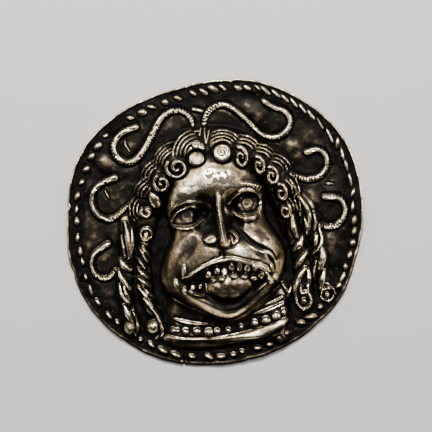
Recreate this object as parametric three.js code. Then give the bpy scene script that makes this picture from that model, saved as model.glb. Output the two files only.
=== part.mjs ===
import * as THREE from 'three';

// Gorgon mask: one silver sheet raised from behind and chased from the front.
// Millimetres. The disc lies on its back, face up. +X is its right edge as seen, +Y the crown.

// Driving sizes of the disc and its sheet
const DISC_WIDTH = 100;
const DISC_HEIGHT = 96.6;
const SHEET = 1.1;
const PUNCH = 2.2;
const NOSE_RISE = 17;

// Sizes of the raised work round the head
const ROPE_INSET = 3.2;
const ROPE_RISE = 1.15;
const STRAND_GIRTH = 2.2;
const SNAKE_GIRTH = 2.9;
const SNAKE_RISE = 1.8;
const LOCK_RISE = 2.0;
const LOCK_BED = 1.8;
const CURL_RISE = 1.6;
const TOOTH_RISE = 1.9;
const BEAD_RISE = 1.3;
const CHASED_LINE = 0.35;

// Faceting of the two faces of the sheet
const FACETS_FRONT = 7600;
const FACETS_BACK = 1700;
const RIM_POINTS = 120;

// The carving is laid out in hundredths of the disc's width, from the middle of the disc.
// Radii of the hammered edge, every 15 degrees from +X towards +Y.
const EDGE = [49.9, 50.8, 51.9, 51.5, 50.5, 49.6, 47.9, 47.0, 47.9, 49.5, 51.0, 50.8,
  50.1, 50.7, 50.9, 50.4, 49.6, 48.6, 47.6, 47.4, 47.8, 48.4, 49.2, 48.9];

// Middle of the face and its radii, every 10 degrees from +X towards +Y
const FACE_AT = [2, -8];
const FACE = [21.2, 20, 18.8, 18.2, 18.9, 22.4, 27.2, 29.4, 31.2, 31.8, 31.4, 29.4, 26.4, 25.3, 23.5, 20.7, 17.9,
  17.3, 18.2, 19.9, 21.8, 23.5, 24, 23.3, 22.8, 22.9, 24.3, 25.8, 26.2, 24.9, 23.1, 22.4, 22.8, 23.1, 22.8, 22.2];

// Length in hundredths of the width
const share = (length) => length * 100 / DISC_WIDTH;

const radians = (degrees) => degrees * Math.PI / 180;
const clamp = (value, low, high) => Math.min(high, Math.max(low, value));
const mix = (a, b, t) => a + (b - a) * t;

function ease(a, b, value) {
  const t = clamp((value - a) / (b - a), 0, 1);
  return t * t * (3 - 2 * t);
}

// Smooth curve through four values, from the second to the third
function spline(a, b, c, d, t) {
  return b + 0.5 * t * (c - a + t * (2 * a - 5 * b + 4 * c - d + t * (3 * (b - c) + d - a)));
}

// Smooth closed curve through radii that stand at equal angles
function radiusAt(radii, angle) {
  const count = radii.length;
  const turn = ((angle / (2 * Math.PI)) % 1 + 1) % 1 * count;
  const first = Math.floor(turn) % count;
  const value = (k) => radii[(first + k + count) % count];
  return spline(value(-1), value(0), value(1), value(2), turn - Math.floor(turn));
}

// Height map of the sheet
const PITCH = 0.25;
const REACH = Math.max(...EDGE) + 2;
const SIDE = Math.ceil(2 * REACH / PITCH) + 1;
const place = (index) => index * PITCH - REACH;
const layer = () => new Float32Array(SIDE * SIDE);

function eachCell(map, shape) {
  for (let j = 0; j < SIDE; j++) {
    for (let i = 0; i < SIDE; i++) {
      map[j * SIDE + i] = shape(place(i), place(j), j * SIDE + i);
    }
  }
  return map;
}

// Calls back for the cells under an ellipse, with the squared distance from its middle
function underEllipse(x, y, rx, ry, turn, visit) {
  const reach = Math.max(rx, ry);
  const cos = Math.cos(radians(turn));
  const sin = Math.sin(radians(turn));
  const from = (v) => clamp(Math.ceil((v - reach + REACH) / PITCH), 0, SIDE - 1);
  const to = (v) => clamp(Math.floor((v + reach + REACH) / PITCH), 0, SIDE - 1);
  for (let j = from(y); j <= to(y); j++) {
    for (let i = from(x); i <= to(x); i++) {
      const dx = place(i) - x;
      const dy = place(j) - y;
      const along = (dx * cos + dy * sin) / rx;
      const across = (dy * cos - dx * sin) / ry;
      const square = along * along + across * across;
      if (square < 1) visit(j * SIDE + i, square);
    }
  }
}

// Raised boss that keeps the higher of itself and what is there
function boss(map, x, y, rx, ry, turn, rise, roundness = 0.6) {
  underEllipse(x, y, rx, ry, turn, (cell, square) => {
    map[cell] = Math.max(map[cell], rise * (1 - square) ** roundness);
  });
}

// Swelling, or hollow for a negative rise, that adds to what is there
function swell(map, x, y, rx, ry, turn, rise, softness = 1.2) {
  underEllipse(x, y, rx, ry, turn, (cell, square) => {
    map[cell] += rise * (1 - square) ** softness;
  });
}

// Value on a short list of values that are spread evenly over a path
function spread(values, t) {
  const at = t * (values.length - 1);
  const first = Math.min(Math.floor(at), values.length - 2);
  return values.length === 1 ? values[0] : mix(values[first], values[first + 1], at - first);
}

function pathPoint(points, t) {
  const at = t * (points.length - 1);
  const first = Math.min(Math.floor(at), points.length - 2);
  const point = (k) => {
    if (k < 0) return points[0].map((v, axis) => 2 * v - points[1][axis]);
    if (k < points.length) return points[k];
    return points[k - 1].map((v, axis) => 2 * v - points[k - 2][axis]);
  };
  const knots = [point(first - 1), point(first), point(first + 1), point(first + 2)];
  return [0, 1].map((axis) => spline(...knots.map((knot) => knot[axis]), at - first));
}

// Raised strand along a path, half widths and rises spread over its length
function strand(map, points, widths, rises, roundness = 0.6, crested = false) {
  let length = 0;
  for (let k = 1; k < points.length; k++) {
    length += Math.hypot(points[k][0] - points[k - 1][0], points[k][1] - points[k - 1][1]);
  }
  const count = Math.ceil(length / 0.18);
  for (let k = 0; k <= count; k++) {
    const [x, y] = pathPoint(points, k / count);
    const width = spread(widths, k / count);
    const rise = spread(rises, k / count);
    underEllipse(x, y, width, width, 0, (cell, square) => {
      const fall = crested ? Math.sqrt(square) : square;
      map[cell] = Math.max(map[cell], rise * (1 - fall) ** roundness);
    });
  }
}

function soften(map, sigma) {
  const half = Math.max(1, Math.round(3 * sigma / PITCH));
  const weights = [];
  for (let k = -half; k <= half; k++) {
    weights.push(Math.exp(-0.5 * (k * PITCH / sigma) ** 2));
  }
  const total = weights.reduce((sum, weight) => sum + weight, 0);
  const pass = (source, step, across) => {
    const out = layer();
    for (let a = 0; a < SIDE; a++) {
      for (let b = 0; b < SIDE; b++) {
        let sum = 0;
        for (let k = -half; k <= half; k++) {
          sum += weights[k + half] * source[a * across + clamp(b + k, 0, SIDE - 1) * step];
        }
        out[a * across + b * step] = sum / total;
      }
    }
    return out;
  };
  return pass(pass(map, 1, SIDE), SIDE, 1);
}

// Adds raised work to the sheet and sinks a chased line round it
function chase(sheet, raised, line) {
  const mask = eachCell(layer(), (x, y, cell) => (raised[cell] > 0.03 ? 1 : 0));
  const edge = soften(mask, 0.3);
  for (let cell = 0; cell < sheet.length; cell++) {
    sheet[cell] += mask[cell] ? raised[cell] : -2 * line * edge[cell];
  }
}

const faceTurn = (x, y) => Math.atan2(y - FACE_AT[1], x - FACE_AT[0]);
const faceShare = (x, y) => {
  return Math.hypot(x - FACE_AT[0], y - FACE_AT[1]) / radiusAt(FACE, faceTurn(x, y));
};

// Field of the disc, with the low swellings between the snakes
const sheet = eachCell(layer(), () => 0);
swell(sheet, -35, 18.5, 7.5, 3.5, -30, 1.2, 1.6);
swell(sheet, 27, 24, 6, 4, -50, 0.8, 1.6);
swell(sheet, 32, 7.5, 5, 4, -30, 0.8, 1.6);
swell(sheet, 14, 36, 7, 4, -40, 0.9, 1.6);
swell(sheet, 37.5, -8, 4, 9, 0, 0.7, 1.6);
swell(sheet, -33, -4, 4, 5, 10, 0.6, 1.6);

// Rope border: strands punched one after the other in runs of their own length, width and slant
const rope = layer();
const runs = [
  { from: 80.3, to: 76.5, count: 2, long: 1.8, wide: 0.95, slant: 16 },
  { from: 72.3, to: 12.2, count: 14, long: 2.5, wide: 0.72, slant: 16 },
  { from: 6.2, to: -27.2, count: 8, long: 1.9, wide: 1, slant: 18 },
  { from: -38.8, to: -71.2, count: 7, long: 1.9, wide: 1, slant: 38 },
  { from: -78.2, to: -122.5, count: 9, long: 1.7, wide: 0.95, slant: 14 },
  { from: -134.4, to: -167.5, count: 7, long: 1.8, wide: 0.85, slant: 4 },
  { from: -173.6, to: -218.3, count: 9, long: 1.8, wide: 1, slant: 22 },
  { from: -230.9, to: -273.2, count: 9, long: 1.8, wide: 0.95, slant: 37 },
];
for (const run of runs) {
  for (let k = 0; k < run.count; k++) {
    const degrees = mix(run.from, run.to, k / (run.count - 1));
    const dip = Math.exp(-(((degrees + 50) / 25) ** 2));
    const radius = radiusAt(EDGE, radians(degrees)) - share(ROPE_INSET) - dip;
    const x = radius * Math.cos(radians(degrees));
    const y = radius * Math.sin(radians(degrees));
    const wide = run.wide * share(STRAND_GIRTH) / 2;
    boss(rope, x, y, run.long, wide, degrees - 90 - run.slant, share(ROPE_RISE), 0.7);
    swell(sheet, x, y, 3, 2.2, degrees - 90 - run.slant, 0.2, 1.5);
  }
}
chase(sheet, rope, share(CHASED_LINE));

// Hair roll that climbs from the temples to the crown
const hair = layer();
strand(hair,
  [[-24, -9], [-23, 1], [-20.5, 9], [-14, 18.5], [-6, 23], [2, 24.2], [10, 22], [17, 17.5],
    [22.8, 9.4], [25, -3]],
  [2.5, 4.5, 6.5, 8, 8.5, 8.5, 8, 7, 5.5, 3],
  [0.8, 2, 4.2, 6.4, 7.6, 7.8, 7.3, 6, 3.6, 1.2], 1.25);

// Face, a steep sided dome of its own outline, that runs softly into the hair
const dome = eachCell(layer(), (x, y) => {
  return 6.9 * Math.max(0, 1 - faceShare(x, y) ** (6 + 2 * ease(2, 12, y))) ** 0.75;
});
for (let cell = 0; cell < sheet.length; cell++) {
  sheet[cell] += (hair[cell] ** 1.6 + dome[cell] ** 1.6) ** (1 / 1.6);
}

// Large forms of the face: muzzle and its two lobes, cheeks, forehead, eye hollows, nose sides
const form = layer();
swell(form, 2.5, -15, 19, 14.5, 8, 4.4, 1);
swell(form, -5.4, -11.6, 8.5, 4.2, 32, 1.3, 1.1);
swell(form, 10, -10, 8.5, 4.2, -22, 1.5, 1.1);
swell(form, 2.6, -10.6, 2.4, 3, 0, -0.25);
swell(form, -13, -6, 6.5, 10, -12, 1.5, 1.4);
swell(form, 16, -5.5, 8, 5.4, -42, 2.8, 1.1);
swell(form, -0.4, 14.6, 15.5, 10, 10, 2.6, 1);
swell(form, -2.6, 15.5, 5.5, 5, 20, 0.8, 1.2);
swell(form, 4.6, 14.6, 4.5, 4.5, 0, 0.7, 1.2);
swell(form, -9.8, 2.4, 8.4, 5.4, 10, -3.2);
swell(form, 10.2, 6, 7.4, 5.2, 8, -3.4);
swell(form, -3.4, 7, 3.4, 4.6, 20, -1.9, 1.1);
swell(form, 5.2, 8.2, 3, 4.2, -8, -1.9, 1.1);
swell(form, -3.6, 0.2, 4, 6.8, 10, -2.2, 1.2);
swell(form, 6.6, 0.8, 3.4, 6, 8, -2.4, 1.2);

// Nose: a narrow wedge with a crest and two wings
const nose = layer();
strand(nose, [[0.8, 10], [1.2, 5], [2, -1], [3.1, -6.6]], [1.4, 1.5, 1.8, 2.1], [0.1, 2.6, 4.4, 5.4], 0.8, true);
const crest = layer();
strand(crest, [[1.3, 6], [1.6, 2], [2.3, -2], [3.3, -6.9]], [0.4, 0.5, 0.65, 0.8], [0, 0.4, 0.5, 0.5], 0.8);
const wings = layer();
boss(wings, -0.9, -5.6, 2.6, 1.5, 10, 1.9, 0.6);
strand(wings, [[-3.6, -5.8], [-1.6, -4.2], [0.4, -4.6]], [0.4, 0.6, 0.4], [1.2, 2, 1.2]);
strand(wings, [[4.7, -2.6], [6.6, -3.6], [7.3, -5.6], [6, -7]], [0.4, 0.75, 0.7, 0.4], [0.8, 1.7, 1.6, 0.6]);
boss(wings, 5.3, -5.3, 1, 1.5, 10, 1.2, 0.6);

// Folds sunk from the nose to the corners of the mouth
const folds = layer();
strand(folds, [[-4.6, -5.8], [-3, -7.1], [-0.6, -7.6], [1.4, -8.6]], [0.2, 0.5, 0.55, 0.3], [0.2, 0.7, 0.9, 0.3], 0.8);
strand(folds, [[3.6, -8.6], [5.4, -8], [7.4, -7.4]], [0.3, 0.55, 0.3], [0.3, 0.8, 0.2], 0.8);
strand(folds, [[6.8, -1.8], [9.5, -3.8], [12, -6.4], [15.5, -8.2], [18.6, -9.6], [20.6, -12.5]],
  [0.6, 1.1, 1.2, 1, 0.8, 0.4], [0.2, 1, 1.2, 1, 0.7, 0.2], 1);
strand(folds, [[-4.6, -5], [-7.2, -6.4], [-9.8, -9.4], [-11.6, -14]], [1.2, 2.6, 3, 1.8], [0.1, 0.4, 0.4, 0.1], 1.5);
strand(folds, [[6.6, -11.2], [11, -12.2], [15.5, -12.6]], [0.3, 0.5, 0.3], [0.2, 0.6, 0.2], 0.8);
strand(folds, [[17, -10.2], [18.6, -12], [19.8, -15.2]], [0.4, 1, 0.5], [0.3, 0.9, 0.3], 1);

// Eyeballs, pupils, lids and the ticked right brow
const eyes = layer();
boss(eyes, -9.8, 1.9, 4.7, 3, 10, 1.7, 0.7);
boss(eyes, 10.2, 6.1, 4.3, 2.9, 6, 1.9, 0.7);
const pupils = layer();
boss(pupils, -9.4, 2.2, 2, 2.4, 0, 0.5, 0.4);
boss(pupils, 10.7, 6.2, 1.8, 2.2, 0, 0.5, 0.4);
const lids = layer();
strand(lids, [[-15.2, -0.4], [-12.8, 3.2], [-9.8, 4.9], [-6.4, 5], [-3.8, 3]],
  [0.4, 0.6, 0.65, 0.6, 0.4], [0.7, 1.4, 1.5, 1.3, 0.5]);
strand(lids, [[-15.6, 2.6], [-12.6, 5.6], [-8.6, 6.9], [-4.6, 6.4]], [0.3, 0.4, 0.45, 0.35], [0.2, 0.6, 0.7, 0.4]);
strand(lids, [[-15.4, -0.9], [-12.4, -1.6], [-9.2, -1.7], [-6.6, -0.9], [-3.8, 1.1]],
  [0.6, 0.75, 0.75, 0.7, 0.4], [0.8, 1.5, 1.5, 1.2, 0.4]);
strand(lids, [[5, 6.2], [7.4, 8.9], [10.5, 10.3], [13.6, 9.9], [15.4, 7.2]],
  [0.4, 0.55, 0.6, 0.5, 0.4], [0.5, 1.3, 1.4, 1.2, 0.5]);
strand(lids, [[5.6, 4.2], [7.8, 2.3], [10.5, 1.2], [13.3, 1.6], [14.7, 3.6]],
  [0.5, 0.9, 1, 1, 0.6], [0.5, 1.5, 1.8, 1.8, 0.6]);
for (let k = 0; k < 7; k++) {
  boss(lids, 9 + k, 13.3 - 0.05 * k * k, 0.5, 1, -25, 0.9);
}

// Open mouth, with the tongue that swells out of it
const mouthEdge = [[-9.6, -19], [-2, -14.7], [6.5, -13.6], [15, -15.9], [17.6, -18.6], [12, -24.2],
  [2, -27], [-7, -23.9], [-9.6, -19]];
const mouthSide = [];
for (let k = 0; k < 48; k++) {
  mouthSide.push(pathPoint(mouthEdge, k / 48));
}
const insideMouth = (x, y) => mouthSide.reduce((inside, [x1, y1], k) => {
  const [x2, y2] = mouthSide[(k + 1) % mouthSide.length];
  const crosses = (y1 > y) !== (y2 > y) && x < (x2 - x1) * (y - y1) / (y2 - y1) + x1;
  return crosses ? !inside : inside;
}, false);
const mouth = soften(eachCell(layer(), (x, y) => {
  return Math.hypot(x - 4, y + 20) < 16 && insideMouth(x, y) ? 1 : 0;
}), 0.7);
const tongue = layer();
boss(tongue, 4.9, -21.7, 7.8, 5.3, 4, 3.8, 0.42);
strand(tongue, [[-3, -20.6], [-2.4, -23.6], [0.2, -26], [4, -27], [8.2, -26.2], [11.6, -23.6], [12.8, -20.6]],
  [0.3, 0.5, 0.6, 0.6, 0.6, 0.5, 0.3], [1.4, 2.2, 2.4, 2.4, 2.4, 2.2, 1.4]);

// Face put together, then lips, corner tusks and the jaw that rolls round the mouth
const lips = layer();
strand(lips,
  [[-10.6, -18.6], [-7, -16.6], [-3.6, -14.6], [1, -12.5], [5.2, -11.9], [9.4, -12.6], [13, -13.8],
    [16.5, -15], [18.2, -16]],
  [0.5, 0.65, 0.7, 0.75, 0.75, 0.85, 1, 1, 0.6], [0.6, 1.2, 1.4, 1.5, 1.5, 1.5, 1.5, 1.4, 0.8]);
strand(lips, [[14.9, -15.8], [16.8, -17.2], [18.8, -19.8]], [0.5, 1, 0.9], [0.6, 1.6, 1]);
strand(lips, [[-10.1, -22.6], [-7, -23.7], [-3.8, -24.6]], [0.5, 0.6, 0.4], [1, 1.2, 0.6]);
boss(lips, -10.4, -16, 0.8, 2.2, -4, 1.3);
boss(lips, 19.1, -14.8, 0.7, 1.6, 8, 1.2);
boss(lips, -13, -20.2, 0.9, 1.5, 10, 0.8);
boss(lips, -10.1, -22.6, 0.8, 1.5, 0, 1.2);
boss(lips, 20.2, -18.4, 1.2, 1.2, 0, 0.7);
swell(lips, 12.8, -24, 5, 2.6, 42, 1.3);
const jaw = layer();
strand(jaw,
  [[-15.6, -12], [-16.2, -18], [-13.6, -22.4], [-8, -25.4], [-3, -27.8], [0.6, -29.8], [4.4, -30.6],
    [8.2, -29.4], [12.2, -25.8], [16.4, -22.2], [20, -18.6], [21.4, -13.6]],
  [3, 3.6, 3.9, 3.7, 3.4, 3.2, 3.2, 3.2, 3.2, 3, 2.5, 1.8],
  [0.2, 0.9, 1.6, 2.3, 3, 3.5, 3.7, 3.5, 2.8, 2, 1.2, 0.3], 1.35);
for (let j = 0; j < SIDE; j++) {
  for (let i = 0; i < SIDE; i++) {
    const cell = j * SIDE + i;
    const inFace = ease(1, 0.86, faceShare(place(i), place(j)));
    const open = ease(0.15, 0.85, mouth[cell]);
    sheet[cell] += form[cell] * inFace + nose[cell] + crest[cell];
    sheet[cell] += wings[cell] * ease(4.4, 2.4, nose[cell]);
    sheet[cell] += eyes[cell] + pupils[cell] + lids[cell] - folds[cell];
    sheet[cell] += open * (tongue[cell] - 2.7) + lips[cell] + jaw[cell];
  }
}

// Teeth hang in a row behind the upper lip, with smaller ones on the tongue and at the corner
const teeth = layer();
const toothRow = [[-2.3, -16.9, 1.35], [0.7, -15.8, 1.3], [3.1, -15.9, 1.35], [5.5, -14.6, 1.3], [8.1, -14.2, 1.7],
  [10.6, -15, 1.4], [13.2, -15, 1.1], [15.3, -17.6, 1.15], [13, -18.3, 1], [6.4, -17.3, 1], [9.9, -17.5, 0.95],
  [2.2, -18.4, 0.8], [-7.4, -21.4, 1.2]];
for (const [x, y, tall] of toothRow) {
  boss(teeth, x, y, 1.2, 1.15 * tall, 0, share(TOOTH_RISE), 0.4);
}
const gums = soften(sheet, 0.7);
for (let cell = 0; cell < sheet.length; cell++) {
  if (teeth[cell] > 0.05) sheet[cell] = Math.max(sheet[cell] + 0.5 * teeth[cell], gums[cell] + teeth[cell]);
}

// Neck with its collar, necklace of beads and lower band
eachCell(layer(), (x, y, cell) => {
  const sides = ease(-16.5, -12.5, x) * ease(25.5, 22.5, x);
  const ends = ease(-40.5, -37.5, y) * ease(-16, -24, y);
  if (faceShare(x, y) > 1) sheet[cell] += 2.6 * sides * ends;
});
const collar = layer();
strand(collar,
  [[-17.4, -38.2], [-13.5, -39.7], [-9.8, -40.2], [-3, -40.3], [4, -39.5], [12.8, -37.3], [19, -35.2],
    [23.8, -32.6]],
  [1.1, 1.5, 1.6, 1.6, 1.6, 1.6, 1.4, 0.9], [0.9, 1.5, 1.7, 1.7, 1.7, 1.6, 1.5, 0.9], 0.8);
strand(collar, [[-13.4, -32.2], [-9, -33.4], [-2.6, -34]], [0.4, 0.8, 0.4], [0.6, 1.2, 0.4]);
strand(collar, [[13.2, -30.6], [18, -29], [22.6, -27]], [0.4, 0.7, 0.7], [0.4, 1.1, 0.9]);
const beadRow = [[-14, -35.8], [-6, -36.2], [2, -36.2], [9, -34.6], [17, -32.8], [23.2, -29.7]];
const beadSizes = [0.9, 1.1, 1.2, 1.4, 1.1, 0.9, 0.9, 1.3, 1.6, 1.6, 1.1];
beadSizes.forEach((radius, k) => {
  const [x, y] = pathPoint(beadRow, k / (beadSizes.length - 1));
  boss(collar, x, y, radius, radius, 0, share(BEAD_RISE), 0.5);
});
chase(sheet, collar, share(CHASED_LINE));

// Six snakes in the field, each thin at the root and full along the body
const snakes = layer();
const bodies = [
  [[-7.5, 32.5], [-9.2, 36.1], [-12.8, 37.4], [-17.4, 35.2], [-21.8, 28], [-25.9, 21.6], [-31, 20.4],
    [-34.2, 25], [-31.6, 29.8], [-26.6, 31.9]],
  [[-3.8, 32.8], [-1.8, 37.5], [3, 39.3], [8, 36.5], [13, 31.8], [18.5, 28.5], [23.6, 30.2], [24.8, 35.3],
    [20.6, 38.2], [16.2, 40.7]],
  [[-28.7, 6.3], [-33, 2.2], [-37.6, 1.3], [-41.1, 5.4], [-40.3, 11], [-33.6, 14.9]],
  [[-33.2, -15.8], [-37.2, -18.9], [-41.1, -15.6], [-40.7, -11], [-36, -7.2]],
  [[25.5, 16.5], [30.8, 14.4], [36, 16.2], [37.1, 22], [30.8, 23.6]],
  [[34, 0.3], [38.5, -1.5], [43, 1.4], [42.8, 6.8], [36.8, 8.6]],
];
const girths = [0.7, 0.95, 1.05, 1, 0.95, 0.95, 1.1].map((part) => part * share(SNAKE_GIRTH) / 2);
for (const body of bodies) {
  strand(snakes, body, girths, [0.8, 1, 1].map((part) => part * share(SNAKE_RISE)), 0.5);
}
chase(sheet, snakes, share(CHASED_LINE));

// Locks combed up behind the curls
const locks = layer();
const combed = [[-16.4, 22, 3.4, 5, 40], [-8.6, 26.4, 3.6, 5.2, 20], [2, 27, 4.2, 5.4, 0],
  [9.8, 25.2, 3, 4.8, -20], [15.8, 22.6, 2.8, 4.6, -30], [20.4, 19, 2.6, 4.4, -40],
  [-21.6, 17, 2.8, 4.6, 45], [-24.6, 11, 2.6, 4, 60], [25, 11.6, 2.6, 5, -10]];
for (const [x, y, rx, ry, turn] of combed) {
  boss(locks, x, y, rx, ry, turn, 1.1, 0.7);
}
chase(sheet, locks, 0.2);

// Curls along the forehead: spirals at the temples and flat bosses at the parting
const curls = layer();
const curlRise = share(CURL_RISE);
function curl(x, y, rx, ry, turn, sense, turns) {
  const cos = Math.cos(radians(turn));
  const sin = Math.sin(radians(turn));
  const points = [];
  for (let k = 0; k < 14; k++) {
    const angle = sense * (radians(140) + k / 13 * turns * 2 * Math.PI);
    const shrink = 1 - 0.78 * k / 13;
    const u = (rx - 0.5) * shrink * Math.cos(angle);
    const v = (ry - 0.5) * shrink * Math.sin(angle);
    points.push([x + u * cos - v * sin, y + u * sin + v * cos]);
  }
  strand(curls, points, [0.75, 0.7, 0.6], [curlRise, curlRise, 0.85 * curlRise]);
  boss(curls, x, y, 0.9 * rx, 0.9 * ry, turn, 0.25 * curlRise, 0.8);
}
curl(-12.6, 18.2, 4.3, 4.2, 0, 1, 1.4);
curl(-17.6, 13, 3.4, 3.6, 0, 1, 1.3);
curl(-22.8, 3.4, 2.6, 2.4, 0, 1, 0.9);
curl(8.6, 21.5, 2.9, 4.2, 8, -1, 1.3);
curl(14.6, 18.8, 2.5, 3.8, 12, -1, 1.3);
curl(18.9, 15.4, 2.8, 3.8, 12, -1, 1.3);
curl(22.2, 9.8, 2.5, 3.6, 10, -1, 1.1);
curl(23.4, 3.9, 2.4, 3.4, 5, -1, 1.1);
boss(curls, -6.3, 21.4, 3.1, 2.8, 0, curlRise, 0.2);
boss(curls, -5.6, 25.4, 2.5, 1.7, -35, 0.85 * curlRise, 0.35);
boss(curls, 2.3, 23.2, 3.1, 3.2, 0, curlRise, 0.2);
boss(curls, -20, 7.2, 1.9, 3, 30, curlRise, 0.45);
chase(sheet, curls, share(CHASED_LINE));

// Four twisted locks beside the face: a bed, slanted plaits along it and a curl at the end
const beds = layer();
const plaits = layer();
const tresses = [
  { path: [[-29.4, -0.4], [-29.2, -8], [-30.2, -16], [-30, -24], [-28.6, -31]], bed: [1.8, 2.9, 3, 2.8],
    plait: 1.25, count: 6, lean: 20, end: [-28.5, -35.6, 2.3] },
  { path: [[-23.4, -7.5], [-23.9, -14], [-23.4, -21], [-21.4, -27.5], [-18.8, -33.5]], bed: [1.8, 2.6, 2.8, 2.3],
    plait: 1, count: 7, lean: 28, end: [-21, -34.6, 2.2] },
  { path: [[26, 3.5], [27.2, -5], [28.6, -11], [28.8, -17], [28, -25]], bed: [2.2, 2.9, 3.2, 3.4],
    plait: 1.35, count: 6, lean: -30, end: [30.2, -26.2, 2.6] },
  { path: [[27, 11.5], [31, 4], [33.6, -4], [35, -11], [36, -20.5]], bed: [2, 3, 2.6, 2.4],
    plait: 1.3, count: 7, lean: -8, end: [37.6, -24, 2.4] },
];
for (const { path, bed, plait, count, lean, end } of tresses) {
  strand(beds, path, bed, [share(LOCK_BED)], 0.8);
  for (let k = 0; k < count; k++) {
    const t = (k + 0.5) / count;
    const [x, y] = pathPoint(path, t);
    const [x2, y2] = pathPoint(path, t + 0.01);
    const heading = Math.atan2(y2 - y, x2 - x) * 180 / Math.PI;
    boss(plaits, x, y, 3.4, plait, heading + lean, share(LOCK_RISE));
  }
  boss(plaits, end[0], end[1], end[2], end[2], 0, share(LOCK_RISE), 0.5);
}
boss(plaits, -23, -3.9, 2.4, 2.4, 0, share(LOCK_RISE), 0.5);
eachCell(layer(), (x, y, cell) => {
  sheet[cell] += beds[cell] * ease(0.86, 1, faceShare(x, y));
});
chase(sheet, plaits, share(CHASED_LINE));

// Front of the sheet in millimetres of rise, then its back, one sheet thickness behind.
// The back follows only what a rounded punch can reach, and the rim lies flat.
const front = soften(sheet, 0.25);
const scaleX = DISC_WIDTH / (edgeExtent(1, 0) + edgeExtent(-1, 0));
const scaleY = DISC_HEIGHT / (edgeExtent(0, 1) + edgeExtent(0, -1));
const middleX = (edgeExtent(1, 0) - edgeExtent(-1, 0)) / 2;
const middleY = (edgeExtent(0, 1) - edgeExtent(0, -1)) / 2;
const crown = front.reduce((most, value) => Math.max(most, value), 0);
for (let cell = 0; cell < front.length; cell++) {
  front[cell] = SHEET + Math.max(front[cell], -0.15) * (NOSE_RISE - SHEET) / crown;
}

function edgeExtent(dirX, dirY) {
  let most = 0;
  for (let k = 0; k < RIM_POINTS; k++) {
    const angle = k / RIM_POINTS * 2 * Math.PI;
    const radius = radiusAt(EDGE, angle);
    most = Math.max(most, radius * (dirX * Math.cos(angle) + dirY * Math.sin(angle)));
  }
  return most;
}

// Rolls a ball under the map, lowering it, or over it, raising it
function rollBall(map, radius, way) {
  const reach = Math.floor(radius / (PITCH * scaleX));
  const out = layer().fill(way < 0 ? Infinity : -Infinity);
  for (let dj = -reach; dj <= reach; dj++) {
    for (let di = -reach; di <= reach; di++) {
      const square = radius ** 2 - ((di * scaleX) ** 2 + (dj * scaleY) ** 2) * PITCH ** 2;
      if (square < 0) continue;
      const lift = way * Math.sqrt(square);
      for (let j = Math.max(0, -dj); j < Math.min(SIDE, SIDE - dj); j++) {
        for (let i = Math.max(0, -di); i < Math.min(SIDE, SIDE - di); i++) {
          const cell = j * SIDE + i;
          const value = map[cell + dj * SIDE + di] + lift;
          out[cell] = way < 0 ? Math.min(out[cell], value) : Math.max(out[cell], value);
        }
      }
    }
  }
  return out;
}
const rolled = rollBall(rollBall(front, SHEET + PUNCH, -1), PUNCH, 1);
const back = rolled.map((value) => Math.max(0, value) * ease(0.8, 2.4, value));

// Points round the edge that both faces share
const rim = [];
for (let k = 0; k < RIM_POINTS; k++) {
  const angle = k / RIM_POINTS * 2 * Math.PI;
  const radius = radiusAt(EDGE, angle);
  rim.push([radius * Math.cos(angle), radius * Math.sin(angle)]);
}
const inner = eachCell(layer(), (x, y) => {
  return Math.hypot(x, y) < radiusAt(EDGE, Math.atan2(y, x)) - 0.6 ? 1 : 0;
});

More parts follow.
